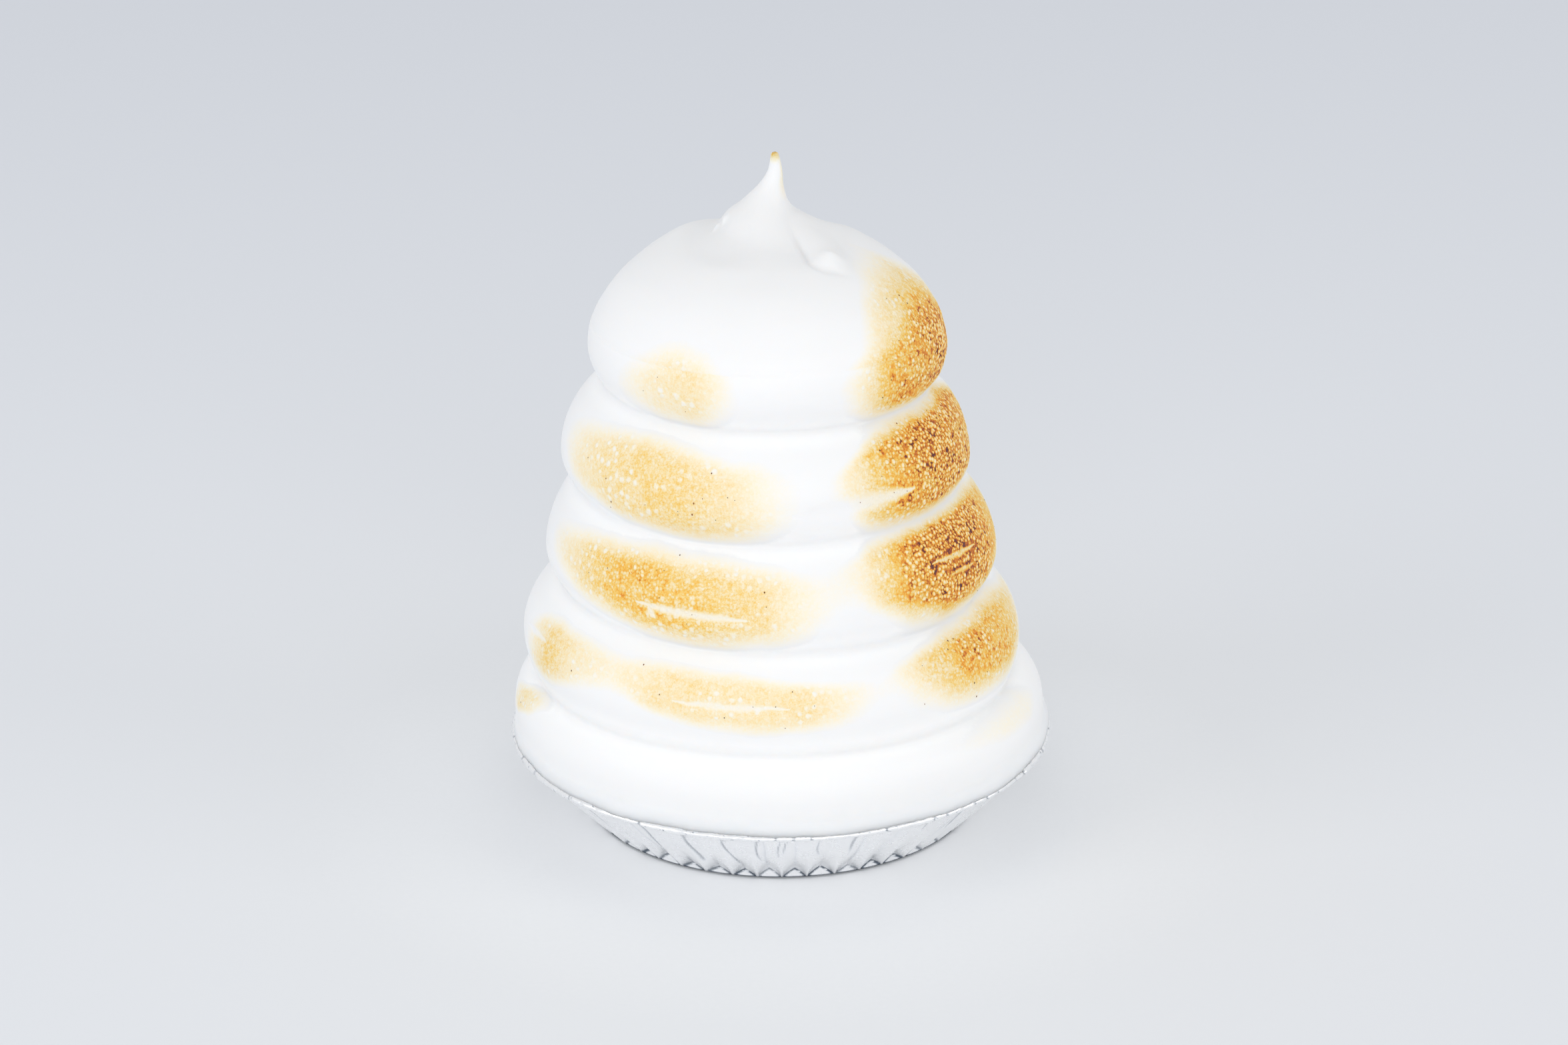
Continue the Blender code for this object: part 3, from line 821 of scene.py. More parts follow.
def buildTower():
    angle, radius, height, shift, numbers, shares = towerProfile()
    rows, columns = radius.shape
    azimuth = (np.degrees(angle) + 90 + 180) % 360 - 180
    azimuths = np.repeat(azimuth[None], rows, axis=0)
    turn = np.repeat((angle / (2 * math.pi))[None], rows, axis=0)
    ring = np.repeat(numbers[:, None], columns, axis=1)
    share = np.repeat(shares[:, None], columns, axis=1)
    points, radius, calm = piledPoints(angle, radius, height, shift, turn)
    browned = brownField(azimuths, height, turn, ring, share)
    out, bare = skinRelief(azimuths, radius, height, turn, browned, calm)
    points = points + skinNormals(points) * out[..., None]
    # painted light: a mask that pales the white skin beside each crease
    glow = hump(creaseAway(points, ring), 0, toast["creaseGlow"])
    # the foot sits on the rolled rim and fills the pan
    filled = [np.stack([r * np.cos(angle), r * np.sin(angle), np.full_like(angle, z)], axis=-1)
              for r, z in tower["fill"]]
    points = np.concatenate([points, np.stack(filled)])
    lowest = (0, 0, tower["fill"][-1][1])
    mesh = gridMesh("meringue_tower", points, (shift[0, 0], 0, tower["tipHeight"] + 0.02), lowest)
    plain = np.zeros(len(mesh.vertices) - browned.size)
    # the "crease" attribute carries that painted light beside the creases
    for name, values in (("toast", browned), ("bare", bare), ("crease", glow)):
        storeNumbers(mesh, name, np.concatenate([values.ravel(), plain]))
    run = np.cumsum(np.linalg.norm(np.diff(points, axis=0), axis=-1).mean(axis=1))
    run = np.concatenate([[0], run])
    widths = np.array([ring["outer"] for ring in tower["rings"]])
    girth = 2 * math.pi * widths[np.append(numbers, [len(widths) - 1] * len(filled))]
    each = [np.concatenate([np.repeat(values, columns), values[[0, -1]]]) for values in (girth, run)]
    around = np.concatenate([np.tile(azimuth, len(points)), [0, 0]])
    storeMaps(mesh, around, np.array([vertex.co.z for vertex in mesh.vertices]) / mm, *each)
    return mesh


skin = {
    "scatter": (1.0, 0.92, 0.85),    # how far light spreads under the skin, by colour
    "scatterDepth": 0.0065,          # m
    "crustDensity": 0.85,            # share of that light which the crust keeps out
    "bump": 0.35,                    # strength of the relief, and its height in m
    "bumpHeight": 0.0004,
    "reliefs": (0.7, 0.30, -0.6),    # of the grain, the piping and the streaks, against the small blisters
    "shine": 0.35,
    "roughness": (0.40, 0.10, 0.14),     # at least, more from place to place, and more where browned
    # noises that make the browning uneven: strength, scale, detail, roughness
    "unevenness": [
        (0.20, 130.0, 2.0, 0.5),     # clouds
        (0.50, 1050.0, 3.0, 0.6),    # flecks
        (0.56, 3200.0, 3.0, 0.65),   # grain
    ],
    "browned": 0.84,                 # what the torch's strength counts for beside them
    "some": (0.02, 0.55),            # between these strengths of browning they grow up
    "heavy": (0.40, 0.75),           # and between these the crust turns into a burnt net
    "net": (0.11, 0.26),             # how much darker the net is, and its blotches on top of that
    "blotches": (520.0, 2.0, 0.6),   # scale, detail, roughness
    "blisterCells": 1350.0,          # scale of the small blisters
    "blisterPaleness": (0.16, 0.20),     # how much paler they are, and how much more so on the dark crust
    "dotCells": 620.0,               # scale of the pale dots
    "dotClumps": (90.0, 1.0),        # and of their clumps, with its detail
    "dotPaleness": 0.55,
    "cellWarp": (900.0, 0.0004),     # scale and reach (m) of what bends the blisters and dots
    "streakPaleness": 0.86,
    "streakCream": 0.10,             # how brown a streak is at least
    "plain": 0.04,                   # place in the browning of white skin away from the painted light beside the creases
    "peak": (0.108, 0.130),          # m; painted shade darkens the top between these heights
    "paintedPeakShade": 0.08,
    "pipingWaves": (26.0, 55.0, 1.0),    # round the tower, and to a decimetre of height
    "browning": [                    # from untouched to burnt, after the white of the creases, paled by painted light
        (0.00, screenColour(254, 254, 252)),
        (0.04, screenColour(238, 238, 238)),
        (0.10, screenColour(241, 237, 228)),
        (0.17, screenColour(243, 234, 213)),
        (0.27, screenColour(243, 226, 188)),
        (0.38, screenColour(241, 214, 151)),
        (0.48, screenColour(240, 201, 110)),
        (0.58, screenColour(239, 184, 74)),
        (0.68, screenColour(232, 154, 50)),
        (0.78, screenColour(206, 114, 36)),
        (0.89, screenColour(150, 72, 40)),
        (1.00, screenColour(94, 50, 50)),
    ],
}


# How brown each place is, from the torch's strength there and the unevenness of the crust, with the grain
# for the relief and a mask of all the browned skin.
def brownLevel(tree, where, browned):
    some = passage(tree, browned, *skin["some"])
    level = times(tree, browned, skin["browned"])
    for strength, *settings in skin["unevenness"]:
        grain = unevenness(tree, where, *settings)
        level = calc(tree, "MULTIPLY_ADD", times(tree, grain, some), strength, level)
    return level, grain, some


# Takes a share of the level away where the mask is 1.
def fade(tree, level, mask, share):
    return times(tree, level, remainder(tree, times(tree, mask, share)))


# Masks one pale streak: 1 on its line, 0 away from it.
def streakGroup():
    group = bpy.data.node_groups.new("pale_streak", "ShaderNodeTree")
    for name in ("Skin", "Azimuth", "Height", "Run", "Drop", "Girth", "Half Width", "Wander"):
        kind = "NodeSocketVector" if name == "Skin" else "NodeSocketFloat"
        group.interface.new_socket(name, in_out="INPUT", socket_type=kind)
    group.interface.new_socket("Mask", in_out="OUTPUT", socket_type="NodeSocketFloat")
    given = group.nodes.new("NodeGroupInput").outputs
    spot = axes(group, given["Skin"])
    # millimetres from the streak's first end, round the tower and upwards
    across = times(group, calc(group, "SUBTRACT", spot["X"], given["Azimuth"]), given["Girth"])
    rise = calc(group, "MULTIPLY_ADD", spot["Y"], 100.0, given["Wander"])
    rise = calc(group, "SUBTRACT", rise, given["Height"])
    run, drop = given["Run"], given["Drop"]
    length = calc(group, "MULTIPLY_ADD", run, run, times(group, drop, drop))
    along = calc(group, "MULTIPLY_ADD", across, run, times(group, rise, drop))
    share = calc(group, "DIVIDE", along, length, clamp=True)
    awayX = calc(group, "SUBTRACT", across, times(group, share, run))
    awayY = calc(group, "SUBTRACT", rise, times(group, share, drop))
    # thickest in the middle, drawn out to both ends
    belly = calc(group, "MULTIPLY_ADD", calc(group, "SINE", times(group, share, math.pi)), 0.8, 0.2)
    near = calc(group, "DIVIDE", diagonal(group, awayX, awayY), times(group, belly, given["Half Width"]))
    mask = remainder(group, passage(group, near, 0.2, 1.55))
    group.links.new(mask, group.nodes.new("NodeGroupOutput").inputs["Mask"])
    return group


streakWander = 260.0          # scale of the noise that bends the streaks by up to half a mm
skinRadii = [(25, 54), (42, 50), (60, 45), (80, 41), (100, 35.5)]     # the tower's heights and radii in mm


def streakMask(tree, skinMap, where):
    group = streakGroup()
    wander = unevenness(tree, where, streakWander)
    whole = None
    for azimuth, height, lastAzimuth, lastHeight, halfWidth, strength in streaks:
        girth = 2 * math.pi * np.interp(height, *zip(*skinRadii))
        node = place(tree, "ShaderNodeGroup", {"node_tree": group}, {
            "Skin": skinMap, "Azimuth": azimuth / 360 + 0.5, "Height": height, "Girth": girth,
            "Run": (lastAzimuth - azimuth) / 360 * girth, "Drop": lastHeight - height,
            "Half Width": halfWidth, "Wander": wander})
        mask = times(tree, node.outputs["Mask"], strength)
        whole = mask if whole is None else calc(tree, "MAXIMUM", whole, mask)
    return whole


# Cells on the skin: the distance from the middle of each, and its random colour.
def skinCells(tree, spot, scale):
    cells = place(tree, "ShaderNodeTexVoronoi", {"feature": "F1", "voronoi_dimensions": "2D"},
                  {"Vector": spot, "Scale": scale}).outputs
    chances = place(tree, "ShaderNodeSeparateColor", None, {"Color": cells["Color"]}).outputs
    return cells["Distance"], chances


# Small blisters between the big ones.
def smallBlisters(tree, spot):
    away, luck = skinCells(tree, spot, skin["blisterCells"])
    dome = remainder(tree, passage(tree, away, 0.20, 0.62))
    return times(tree, dome, passage(tree, luck["Red"], 0.25, 0.6))


# Pale dots in clumps, where the skin is only lightly browned.
def paleDots(tree, where, spot, browned, heavy):
    away, luck = skinCells(tree, spot, skin["dotCells"])
    reach = calc(tree, "MULTIPLY_ADD", luck["Green"], 0.18, 0.28)
    dot = remainder(tree, passage(tree, calc(tree, "DIVIDE", away, reach), 0.45, 1.15))
    picked = passage(tree, luck["Red"], 0.58, 0.66)
    clump = passage(tree, noise(tree, where, *skin["dotClumps"]), 0.46, 0.58)
    return times(tree, dot, picked, clump, passage(tree, browned, 0.08, 0.32), remainder(tree, heavy))


def meringueSkin():
    material, tree, shader, where = newMaterial("meringue_skin")
    skinMap, poreMap = [place(tree, "ShaderNodeUVMap", {"uv_map": name}).outputs["UV"]
                        for name in ("skin", "pores")]
    browned = stored(tree, "toast")
    level, grain, some = brownLevel(tree, where, browned)
    heavy = passage(tree, browned, *skin["heavy"])
    spot = calcVector(tree, "ADD", poreMap, shove(tree, where, *skin["cellWarp"]))

    # the burnt net between the blisters, with a darker blotch here and there
    dome = smallBlisters(tree, spot)
    blotch = passage(tree, noise(tree, where, *skin["blotches"]), 0.52, 0.68)
    darker, blotched = skin["net"]
    net = times(tree, heavy, calc(tree, "MULTIPLY_ADD", blotch, blotched, darker))
    level = calc(tree, "MULTIPLY_ADD", level, 1.05, net)
    paler, more = skin["blisterPaleness"]
    paler = calc(tree, "MULTIPLY_ADD", passage(tree, browned, 0.35, 0.6), more, paler)
    level = fade(tree, level, dome, paler)
    dot = paleDots(tree, where, spot, browned, heavy)
    level = fade(tree, level, dot, skin["dotPaleness"])

    # a streak is cream, and smoother than what is beside it
    streak = streakMask(tree, skinMap, where)
    level = fade(tree, level, streak, skin["streakPaleness"])
    level = calc(tree, "MULTIPLY_ADD", times(tree, streak, some), skin["streakCream"], level)
    # painted light: white skin is painted paler beside a crease, to make up for the shadow there
    plain = times(tree, remainder(tree, stored(tree, "crease")), skin["plain"])
    level = calc(tree, "MAXIMUM", level, plain)
    # painted shade: the skin's colour darkens towards the top of the peak
    paintedTopShade = passage(tree, axes(tree, where)["Z"], *skin["peak"])
    shade = calc(tree, "MULTIPLY_ADD", paintedTopShade, -skin["paintedPeakShade"], 1.0)
    feed(tree, shader, "Base Color",
         calcVector(tree, "SCALE", colourScale(tree, level, skin["browning"]), scale=shade))

    # the crust lets less light in than the foam does
    soft = calc(tree, "MULTIPLY_ADD", passage(tree, browned, 0.1, 0.6), -skin["crustDensity"], 1.0)
    feed(tree, shader, "Subsurface Weight", soft)
    feed(tree, shader, "Subsurface Radius", skin["scatter"])
    feed(tree, shader, "Subsurface Scale", skin["scatterDepth"])
    least, uneven, crusty = skin["roughness"]
    rough = calc(tree, "MULTIPLY_ADD", noise(tree, where, 90.0), uneven, least)
    feed(tree, shader, "Roughness", calc(tree, "MULTIPLY_ADD", some, crusty, rough))
    feed(tree, shader, "Specular IOR Level", skin["shine"])

    # relief: small blisters, grain, and the drag of the piping
    dragged = place(tree, "ShaderNodeMapping", None,
                    {"Vector": skinMap, "Scale": skin["pipingWaves"]}).outputs[0]
    relief = calc(tree, "MULTIPLY_ADD", dome, passage(tree, browned, 0.15, 0.6), dot)
    for field, share in zip((times(tree, grain, some), noise(tree, dragged, 1.0), streak), skin["reliefs"]):
        relief = calc(tree, "MULTIPLY_ADD", field, share, relief)
    addBump(tree, shader, relief, skin["bump"], skin["bumpHeight"])
    return material


blisterLook = {
    "crown": (0.2, 0.95),        # shares of its radius between which a blister grows as brown as the crust
    "paleness": (0.36, 0.22),    # how much paler it is on top, and more so from one to the next
    "rim": 0.08,                 # how much darker its rim is on the darkest crust
    "roughness": (0.5, 0.3),
    "bump": 0.25,
    "bumpHeight": 0.0003,        # m
}


# The browned blisters: palest on top, as brown as the crust at the edge.
def blisterSkin():
    material, tree, shader, where = newMaterial("blister_skin")
    browned, luck, edge = [stored(tree, name) for name in ("toast", "luck", "edge")]
    level, grain, _ = brownLevel(tree, where, browned)
    crown = remainder(tree, passage(tree, edge, *blisterLook["crown"]))
    least, more = blisterLook["paleness"]
    level = fade(tree, level, crown, calc(tree, "MULTIPLY_ADD", luck, more, least))
    rim = times(tree, remainder(tree, crown), passage(tree, browned, *skin["heavy"]))
    level = calc(tree, "MULTIPLY_ADD", rim, blisterLook["rim"], level)
    feed(tree, shader, "Base Color", colourScale(tree, level, skin["browning"]))
    least, uneven = blisterLook["roughness"]
    feed(tree, shader, "Roughness", calc(tree, "MULTIPLY_ADD", grain, uneven, least))
    feed(tree, shader, "Specular IOR Level", skin["shine"])
    addBump(tree, shader, grain, blisterLook["bump"], blisterLook["bumpHeight"])
    return material


def burntSugar():
    material, tree, shader, where = newMaterial("burnt_sugar")
    stops = [(0.35, screenColour(72, 40, 24)), (0.65, screenColour(140, 84, 38))]
    feed(tree, shader, "Base Color", colourScale(tree, noise(tree, where, 350.0), stops))
    feed(tree, shader, "Roughness", calc(tree, "MULTIPLY_ADD", noise(tree, where, 3000.0), 0.3, 0.3))
    return material


# Sizes for the tree that scatters the blisters.
blisters = {
    "Spacing": 0.00070,       # m, the least between two centres
    "Crowding": 3.6e6,        # tries to a square metre where the crust is darkest
    "Browned": 0.53,          # browning where the first ones rise, and where they are crowded
    "Dark": 0.80,
    "Smallest": 0.00038,      # radii in m
    "Largest": 0.00072,
    "Stretch": 0.15,          # share by which a blister is longer than wide
    "Flatness": 0.30,
    "Sink": 0.12,             # share of a blister's height that is under the skin
    "Unevenness": 0.0006,     # m, sideways
    "Seed": 5,
}


def sizeBetween(tree, given, share):
    return place(tree, "ShaderNodeMapRange", None, {
        "Value": share, "To Min": given["Smallest"], "To Max": given["Largest"]}).outputs["Result"]


# One blister, 1 wide and 1 high: domed on top, and running out level at the edge.
def blisterDome(tree, where, sink):
    cone = place(tree, "GeometryNodeMeshCone", {"fill_type": "TRIANGLE_FAN"}, {
        "Vertices": 9, "Side Segments": 2, "Radius Top": 0.40, "Radius Bottom": 1.0, "Depth": 0.3})
    corner = axes(tree, where)
    reach = diagonal(tree, corner["X"], corner["Y"])
    noted = storeField(tree, cone.outputs["Mesh"], "edge", reach)
    raised = calc(tree, "POWER", remainder(tree, times(tree, reach, reach), clamp=True), 2.0)
    raised = times(tree, raised, calc(tree, "GREATER_THAN", corner["Z"], 0.01))
    spot = joinAxes(tree, corner["X"], corner["Y"], calc(tree, "SUBTRACT", raised, sink))
    dome = place(tree, "GeometryNodeSetPosition", None, {"Geometry": noted, "Position": spot}).outputs[0]
    for part, smooth in (("Bottom", False), ("Side", True), ("Top", True)):
        dome = place(tree, "GeometryNodeSetShadeSmooth", None,
                     {"Geometry": dome, "Selection": cone.outputs[part], "Shade Smooth": smooth}).outputs[0]
    return dome


# Flat domes on the browned skin, the more the darker it is. Side is 1 for the right half of the tower and
# -1 for the left one.
def blisterTree(material):
    tree, given = newGeometryTree("blister_scatter", {**blisters, "Side": 1})
    where = tree.nodes.new("GeometryNodeInputPosition").outputs[0]
    crowded = passage(tree, stored(tree, "toast"), given["Browned"], given["Dark"])
    chance = calc(tree, "MULTIPLY", crowded, remainder(tree, stored(tree, "bare")), clamp=True)
    spots = place(tree, "GeometryNodeDistributePointsOnFaces", {"distribute_method": "POISSON"},
                  {"Mesh": given["Geometry"], "Distance Min": given["Spacing"],
                   "Density Max": given["Crowding"], "Density Factor": chance, "Seed": given["Seed"]})
    otherSide = calc(tree, "LESS_THAN", times(tree, axes(tree, where)["X"], given["Side"]), 0.0)
    kept = place(tree, "GeometryNodeDeleteGeometry", {"domain": "POINT"},
                 {"Geometry": spots.outputs["Points"], "Selection": otherSide}).outputs[0]
    luck = randomNumber(tree, given["Seed"], 0)
    marked = storeField(tree, kept, "luck", luck)
    marked = storeField(tree, marked, "upward", spots.outputs["Normal"], "FLOAT_VECTOR")
    size = sizeBetween(tree, given, calc(tree, "POWER", luck, 1.3))
    # each one is stretched a little, and turned any way round
    stretch = randomNumber(tree, given["Seed"], 1, remainder(tree, given["Stretch"]),
                           calc(tree, "ADD", 1.0, given["Stretch"]))
    turned = joinAxes(tree, z=randomNumber(tree, given["Seed"], 2, 0.0, 2 * math.pi))
    turn = place(tree, "FunctionNodeRotateRotation", {"rotation_space": "LOCAL"},
                 {"Rotation": spots.outputs["Rotation"], "Rotate By": turned}).outputs[0]
    scale = joinAxes(tree, times(tree, size, stretch), calc(tree, "DIVIDE", size, stretch),
                     times(tree, size, given["Flatness"]))
    dome = blisterDome(tree, where, given["Sink"])
    domes = place(tree, "GeometryNodeInstanceOnPoints", None,
                  {"Points": marked, "Instance": dome, "Rotation": turn, "Scale": scale}).outputs[0]
    # and pushed out of round, along the skin
    real = place(tree, "GeometryNodeRealizeInstances", None, {"Geometry": domes}).outputs[0]
    push = shove(tree, where, 1500.0, given["Unevenness"])
    upward = stored(tree, "upward", "FLOAT_VECTOR")
    push = calcVector(tree, "SUBTRACT", push, calcVector(tree, "PROJECT", push, upward))
    uneven = place(tree, "GeometryNodeSetPosition", None, {"Geometry": real, "Offset": push}).outputs[0]
    finishGeometryTree(tree, uneven, material)
    return tree


# Sizes for the tree that scatters the specks.
specks = {
    "Density": 21000.0,       # to a square metre of browned skin
    "Stray": 0.020,           # share of that on white skin
    "Lowest": 0.022,          # m; there are none below this height or above the next
    "Highest": 0.118,
    "Smallest": 0.00009,      # radii in m
    "Largest": 0.00021,
    "Seed": 11,
}


# Specks of burnt sugar on the browned skin, and a few beside it.
def speckTree(material):
    tree, given = newGeometryTree("speck_scatter", specks)
    share = calc(tree, "MAXIMUM", passage(tree, stored(tree, "toast"), 0.05, 0.4), given["Stray"])
    spots = place(tree, "GeometryNodeDistributePointsOnFaces", None,
                  {"Mesh": given["Geometry"], "Density": times(tree, share, given["Density"]),
                   "Seed": given["Seed"]})
    height = axes(tree, tree.nodes.new("GeometryNodeInputPosition").outputs[0])["Z"]
    beyond = calc(tree, "MAXIMUM", calc(tree, "LESS_THAN", height, given["Lowest"]),
                  calc(tree, "GREATER_THAN", height, given["Highest"]))
    kept = place(tree, "GeometryNodeDeleteGeometry", {"domain": "POINT"},
                 {"Geometry": spots.outputs["Points"], "Selection": beyond}).outputs[0]
    size = sizeBetween(tree, given, calc(tree, "POWER", randomNumber(tree, given["Seed"], 0), 2.2))
    grain = place(tree, "GeometryNodeMeshIcoSphere", None, {"Radius": 1.0, "Subdivisions": 1}).outputs[0]
    grains = place(tree, "GeometryNodeInstanceOnPoints", None,
                   {"Points": kept, "Instance": grain, "Rotation": spots.outputs["Rotation"],
                    "Scale": calcVector(tree, "SCALE", (1.0, 1.3, 0.5), scale=size)}).outputs[0]
    finishGeometryTree(tree, grains, material)
    return tree


pan = {
    "rimRadius": 55.45,
    "beadRadius": 0.56,        # of the rolled rim
    "beadHeight": 16.03,
    "beadTurn": (175, 295),    # degrees: where the roll starts, inside, and how far it goes round
    "footRadius": 39.8,
    "cornerHeight": 0.5,       # where the wall starts, outside and inside
    "innerCorner": 0.6,
    "headDrop": 0.35,          # how far the wall's head lies below the bead's middle, and how far it goes
    "headInset": 0.25,         # on into the bead
    "wallEnd": 0.5,            # and how far below the head the outside of the wall ends
    "packing": (1.6, 0.62),    # powers that bring the rows closer together near the foot, in and outside
    "footRoll": [(0.1, 0.24), (-0.3, 0.08), (-1.0, 0.0)],   # how the foot turns under: outwards, height
    "thickness": 0.2,
    "floorRadius": 38.4,
    "floorHeight": 0.35,
    "middleRadius": 20.0,      # one more ring of corners in the flat bottom
    "pleats": 48,
    "columnsPerPleat": 20,
    "wallRows": 34,
    "innerRows": 10,
    "beadRows": 13,
}

# Sizes in m for the tree that folds the foil.
panFolds = {
    "Pleats": pan["pleats"],
    "Pleat Depth": 0.0028,     # at the foot, running out to nothing at the rim
    "Shallowest": 0.65,        # shares of that depth for single pleats
    "Deepest": 1.15,
    "Running Out": 2.6,        # power by which a pleat runs out
    "Wander": 0.30,            # how far it strays sideways, in pleats
    "Corner Softness": 0.0004,     # of the edge where it meets the foot
    "Least Recess": 0.0002,    # pleats get no painted dark edge where they are shallower
    "Dart Width": 0.00046,     # of that edge's painted dark line
    "Valley Width": 0.00042,
    "Valley Depth": 0.00013,
    "Crumple": 0.00005,
    "Bead Crumple": 0.00060,
    "Bead Swell": 0.00012,     # the most that the crumpled rim stands out
    "Bead Nick": 0.00026,
    "Nick Width": 0.00032,
    "Foot Radius": pan["footRadius"] * mm,
    "Seed": 4,
}

# Creases that lean across the wall: how many places for one there are round the pan, how far the first is
# turned on and how far they stray, in such places, the scale of that noise and the salt for their chances.
leaningCreases = [(31.0, 0.3, 1.1, 30.0, 3), (43.0, 0.1, 1.5, 30.0, 6)]
nicks = (97.0, 0.0, 0.5, 60.0, 9)      # and the same for the nicks in the rim

# The noises that bend and dent the foil, and the one that places the painted dark flecks on the rim: scale,
# detail, roughness.
dents = {
    "pleats": (55.0, 1.0),
    "rim": [(620.0, 2.0, 0.6), (90.0, 1.0)],
    "wall": (160.0, 1.0),
    "paintedFlecks": (1500.0, 1.0),
}

# How dark the painted shade of each kind of fold is, from 0 to 1.
paintedFoldShades = {"crease": 0.5, "nick": 0.6, "paintedFleck": 0.55, "foot": 0.8}


def wallRadius(height):
    foot, head = pan["footRadius"], pan["rimRadius"] - 2 * pan["beadRadius"] + pan["headInset"]
    return foot + (head - foot) * height / (pan["beadHeight"] - pan["headDrop"])


# The pan before it is folded, from the middle of its floor, over the rim and down to the underside.
def panMesh():
    columns = pan["pleats"] * pan["columnsPerPleat"]
    angle = np.arange(columns) * 2 * math.pi / columns
    top, floor, foot = pan["beadHeight"] - pan["headDrop"], pan["floorHeight"], pan["footRadius"]
    inner, outer = pan["packing"]
    # each row's radius, height, place on the wall (0 foot, 1 head), share of wall, share of bead
    rows = [(pan["middleRadius"], floor, 0, 0, 0), (pan["floorRadius"], floor, 0, 0, 0)]
    low, corner, end = pan["innerCorner"], pan["cornerHeight"], top - pan["wallEnd"]
    for height in np.linspace(0, 1, pan["innerRows"]) ** inner * (top - low) + low:
        rows.append((wallRadius(height) - pan["thickness"] * 1.4, height + 0.1, height / top, 1, 0))
    centre, (start, sweep) = pan["rimRadius"] - pan["beadRadius"], pan["beadTurn"]
    for turn in np.radians(start - np.linspace(0, sweep, pan["beadRows"])):
        rows.append((centre + pan["beadRadius"] * math.cos(turn),
                     pan["beadHeight"] + pan["beadRadius"] * math.sin(turn), 1, 0, 1))
    for share in 1 - np.linspace(0, 1, pan["wallRows"]) ** outer:
        height = corner + share * (end - corner)
        rows.append((wallRadius(height), height, height / top, 1, 0))
    rows += [(foot + outwards, height, 0, 0, 0) for outwards, height in pan["footRoll"]]
    rows = np.array(rows + [(pan["middleRadius"], 0, 0, 0, 0)])
    points = np.stack([rows[:, :1] * np.cos(angle), rows[:, :1] * np.sin(angle),
                       np.repeat(rows[:, 1:2], columns, axis=1)], axis=-1)
    mesh = gridMesh("foil_pan_smooth", points, (0, 0, floor), (0, 0, 0))
    for column, name in ((2, "climb"), (3, "wall"), (4, "bead")):
        storeNumbers(mesh, name, np.concatenate([np.repeat(rows[:, column], columns), [0, 0]]))
    storeNumbers(mesh, "turn", np.concatenate([np.tile(angle / (2 * math.pi), len(rows)), [0, 0]]))
    return mesh


# 1 in the middle of a groove, falling to 0 on both sides.
def hollow(tree, distance, width):
    ratio = calc(tree, "DIVIDE", distance, width)
    return calc(tree, "EXPONENT", times(tree, ratio, ratio, -1.0))


# Numbered cells round the pan: how far a place is from the middle of its cell, 0 to 1, and the cell's
# number.
def roundCells(tree, where, turn, count, phase, wander, *settings):
    stray = times(tree, unevenness(tree, where, *settings), wander, 2.0)
    run = calc(tree, "ADD", calc(tree, "MULTIPLY_ADD", turn, count, phase), stray)
    middle = calc(tree, "ABSOLUTE", calc(tree, "MULTIPLY_ADD", calc(tree, "FRACT", run), 2.0, -1.0))
    number = calc(tree, "FLOORED_MODULO", calc(tree, "FLOOR", run), count)
    return middle, calc(tree, "ROUND", number)


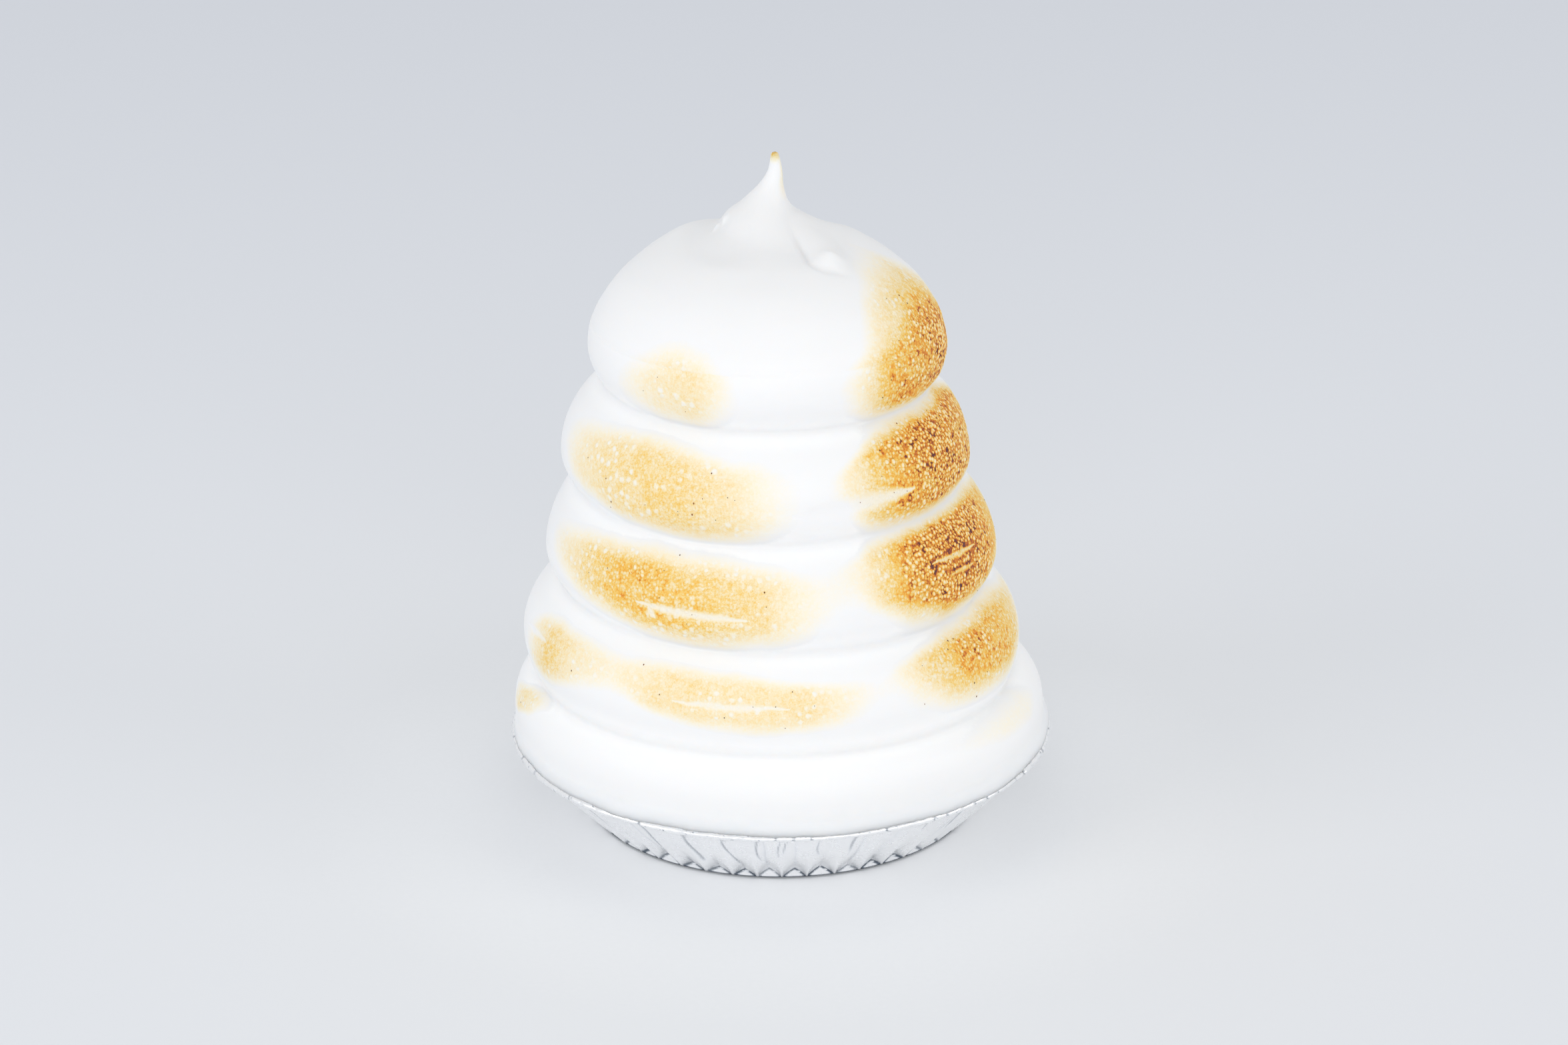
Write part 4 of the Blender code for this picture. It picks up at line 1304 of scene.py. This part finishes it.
# Folds the smooth pan: pleats that deepen towards the foot, where they end in a row of darts, thin creases
# that run down the wall, and a rolled rim that is nicked and uneven.
def panTree(material):
    tree, given = newGeometryTree("foil_folds", panFolds)
    climb, wall, bead, turn = [stored(tree, name) for name in ("climb", "wall", "bead", "turn")]
    where = tree.nodes.new("GeometryNodeInputPosition").outputs[0]
    spot = axes(tree, where)
    radius = diagonal(tree, spot["X"], spot["Y"])

    def chance(number, salt, low=0.0, high=1.0):
        return randomNumber(tree, given["Seed"], salt, low, high, number)

    # pleats: each one is recessed along its middle, and the recess is cut off by the upright foot
    middle, number = roundCells(tree, where, turn, given["Pleats"], 0.0, given["Wander"], *dents["pleats"])
    depth = times(tree, given["Pleat Depth"], chance(number, 1, given["Shallowest"], given["Deepest"]))
    fading = calc(tree, "POWER", remainder(tree, climb, clamp=True), given["Running Out"])
    recess = times(tree, remainder(tree, middle), depth, fading)
    room = times(tree, calc(tree, "SUBTRACT", radius, given["Foot Radius"]), 0.97)
    room = calc(tree, "MAXIMUM", room, 0.0)
    cut = calc(tree, "SMOOTH_MIN", recess, room, given["Corner Softness"])
    recessed = times(tree, calc(tree, "MAXIMUM", cut, 0.0), wall)
    edgeGap = calc(tree, "ABSOLUTE", calc(tree, "SUBTRACT", recess, room))
    marked = calc(tree, "GREATER_THAN", recess, given["Least Recess"])
    marked = times(tree, wall, marked, chance(number, 12, 0.5, 1.0))
    # painted shade: a dark line along the edge where a pleat's recess is cut off by the foot
    dartPaintedShade = times(tree, hollow(tree, edgeGap, given["Dart Width"]), marked)

    # creases: one up the middle of each pleat, and some more that lean across and run down from the rim
    halfRound = times(tree, radius, math.pi)
    away = times(tree, middle, calc(tree, "DIVIDE", halfRound, given["Pleats"]))
    crease = times(tree, hollow(tree, away, given["Valley Width"]), chance(number, 2, -0.5, 0.5))
    narrower = times(tree, given["Valley Width"], 0.85)
    for count, phase, wander, scale, salt in leaningCreases:
        offset, which = roundCells(tree, where, turn, count, phase, wander, scale, 1.0)
        line = hollow(tree, times(tree, offset, calc(tree, "DIVIDE", halfRound, count)), narrower)
        present = passage(tree, chance(which, salt), 0.35, 0.8)
        down = calc(tree, "SUBTRACT", climb, chance(which, salt + 1, 0.0, 0.6))
        line = times(tree, line, present, passage(tree, down, 0.0, 0.35))
        crease = calc(tree, "MAXIMUM", crease, line)
    crease = times(tree, crease, wall, passage(tree, climb, 0.22, 0.34))

    # the rolled rim
    rough = calc(tree, "ADD", *[unevenness(tree, where, *settings) for settings in dents["rim"]])
    count, phase, wander, scale, salt = nicks
    offset, which = roundCells(tree, where, turn, count, phase, wander, scale, 1.0)
    nick = hollow(tree, times(tree, offset, calc(tree, "DIVIDE", halfRound, count)), given["Nick Width"])
    nick = times(tree, nick, passage(tree, chance(which, salt), 0.35, 0.8))
    beadOut = times(tree, rough, given["Bead Crumple"])
    beadOut = calc(tree, "SUBTRACT", beadOut, times(tree, nick, given["Bead Nick"]))
    beadOut = calc(tree, "MINIMUM", times(tree, beadOut, bead), given["Bead Swell"])

    # straight in for the pleats, along the normal for the rest
    buckle = times(tree, unevenness(tree, where, *dents["wall"]), given["Crumple"], wall)
    buckle = times(tree, buckle, passage(tree, climb, 0.02, 0.2))
    fine = calc(tree, "SUBTRACT", buckle, times(tree, crease, given["Valley Depth"]))
    fine = calc(tree, "ADD", fine, beadOut)
    outward = calcVector(tree, "NORMALIZE", calcVector(tree, "MULTIPLY", where, (1.0, 1.0, 0.0)))
    inward = calcVector(tree, "SCALE", outward, scale=times(tree, recessed, -1.0))
    normal = tree.nodes.new("GeometryNodeInputNormal").outputs[0]
    move = calcVector(tree, "ADD", inward, calcVector(tree, "SCALE", normal, scale=fine))

    # painted shade: how dark each fold is painted, read before the points move
    shade = calc(tree, "MAXIMUM", times(tree, crease, paintedFoldShades["crease"]), dartPaintedShade)
    # painted shade on the rolled rim: dark flecks, and the dark of the nicks
    paintedFleck = passage(tree, noise(tree, where, *dents["paintedFlecks"]), 0.62, 0.74)
    paintedFleck = times(tree, paintedFleck, paintedFoldShades["paintedFleck"])
    rimPaintedShade = calc(tree, "MAXIMUM", times(tree, nick, paintedFoldShades["nick"]), paintedFleck)
    shade = calc(tree, "MAXIMUM", shade, times(tree, rimPaintedShade, bead))
    # painted shadow: a dark line where the foil turns under at the foot
    below = remainder(tree, passage(tree, spot["Z"], 0.0002, 0.0005))
    outside = passage(tree, calc(tree, "SUBTRACT", radius, given["Foot Radius"]), -0.0010, -0.0003)
    shade = calc(tree, "MAXIMUM", shade, times(tree, below, outside, paintedFoldShades["foot"]))
    noted = storeField(tree, given["Geometry"], "fold", shade)
    moved = place(tree, "GeometryNodeSetPosition", None, {"Geometry": noted, "Offset": move}).outputs[0]
    finishGeometryTree(tree, moved, material)
    return tree


foil = {
    # from bare foil to the darkest painted shade of a fold
    "shades": [(0.05, screenColour(255, 255, 255)), (0.3, screenColour(250, 251, 253)),
               (0.9, screenColour(112, 122, 134))],
    "clouds": (160.0, 3.0),
    "cloudDepth": 0.3,
    "roughness": (0.20, 0.38),
    "bump": 0.05,
    "bumpHeight": 0.0003,      # m
}


def foilFinish():
    material, tree, shader, where = newMaterial("pan_foil")
    cloud = noise(tree, where, *foil["clouds"])
    # the colour is a cloudy tone darkened by the painted shade of the folds
    shade = calc(tree, "MULTIPLY_ADD", cloud, foil["cloudDepth"], stored(tree, "fold"))
    feed(tree, shader, "Base Color", colourScale(tree, shade, foil["shades"]))
    feed(tree, shader, "Metallic", 1.0)
    low, high = foil["roughness"]
    feed(tree, shader, "Roughness", calc(tree, "MULTIPLY_ADD", noise(tree, where, 600.0), high - low, low))
    fine = calc(tree, "MULTIPLY_ADD", noise(tree, where, 1400.0, 1.0), 0.1, noise(tree, where, 350.0, 1.0))
    addBump(tree, shader, fine, foil["bump"], foil["bumpHeight"])
    return material


towerMesh = buildTower()
towerMesh.materials.append(meringueSkin())
meringueTower = addObject("meringue_tower", towerMesh)
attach(meringueTower, "root")
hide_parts("meringue")
print("tower made", len(towerMesh.polygons))

foilPan = growObject("creased_pan", panMesh(), panTree(foilFinish()), panFolds)
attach(foilPan, "root")
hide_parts("foil_pan")
print("pan made", len(foilPan.data.polygons))

domeTree = blisterTree(blisterSkin())
crust = [growObject("blisters_right", towerMesh.copy(), domeTree, {**blisters, "Side": 1}),
         growObject("blisters_left", towerMesh.copy(), domeTree, {**blisters, "Side": -1}),
         growObject("sugar_specks", towerMesh.copy(), speckTree(burntSugar()), specks)]
for piece in crust:
    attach(piece, "root")
    print(piece.name, len(piece.data.polygons))
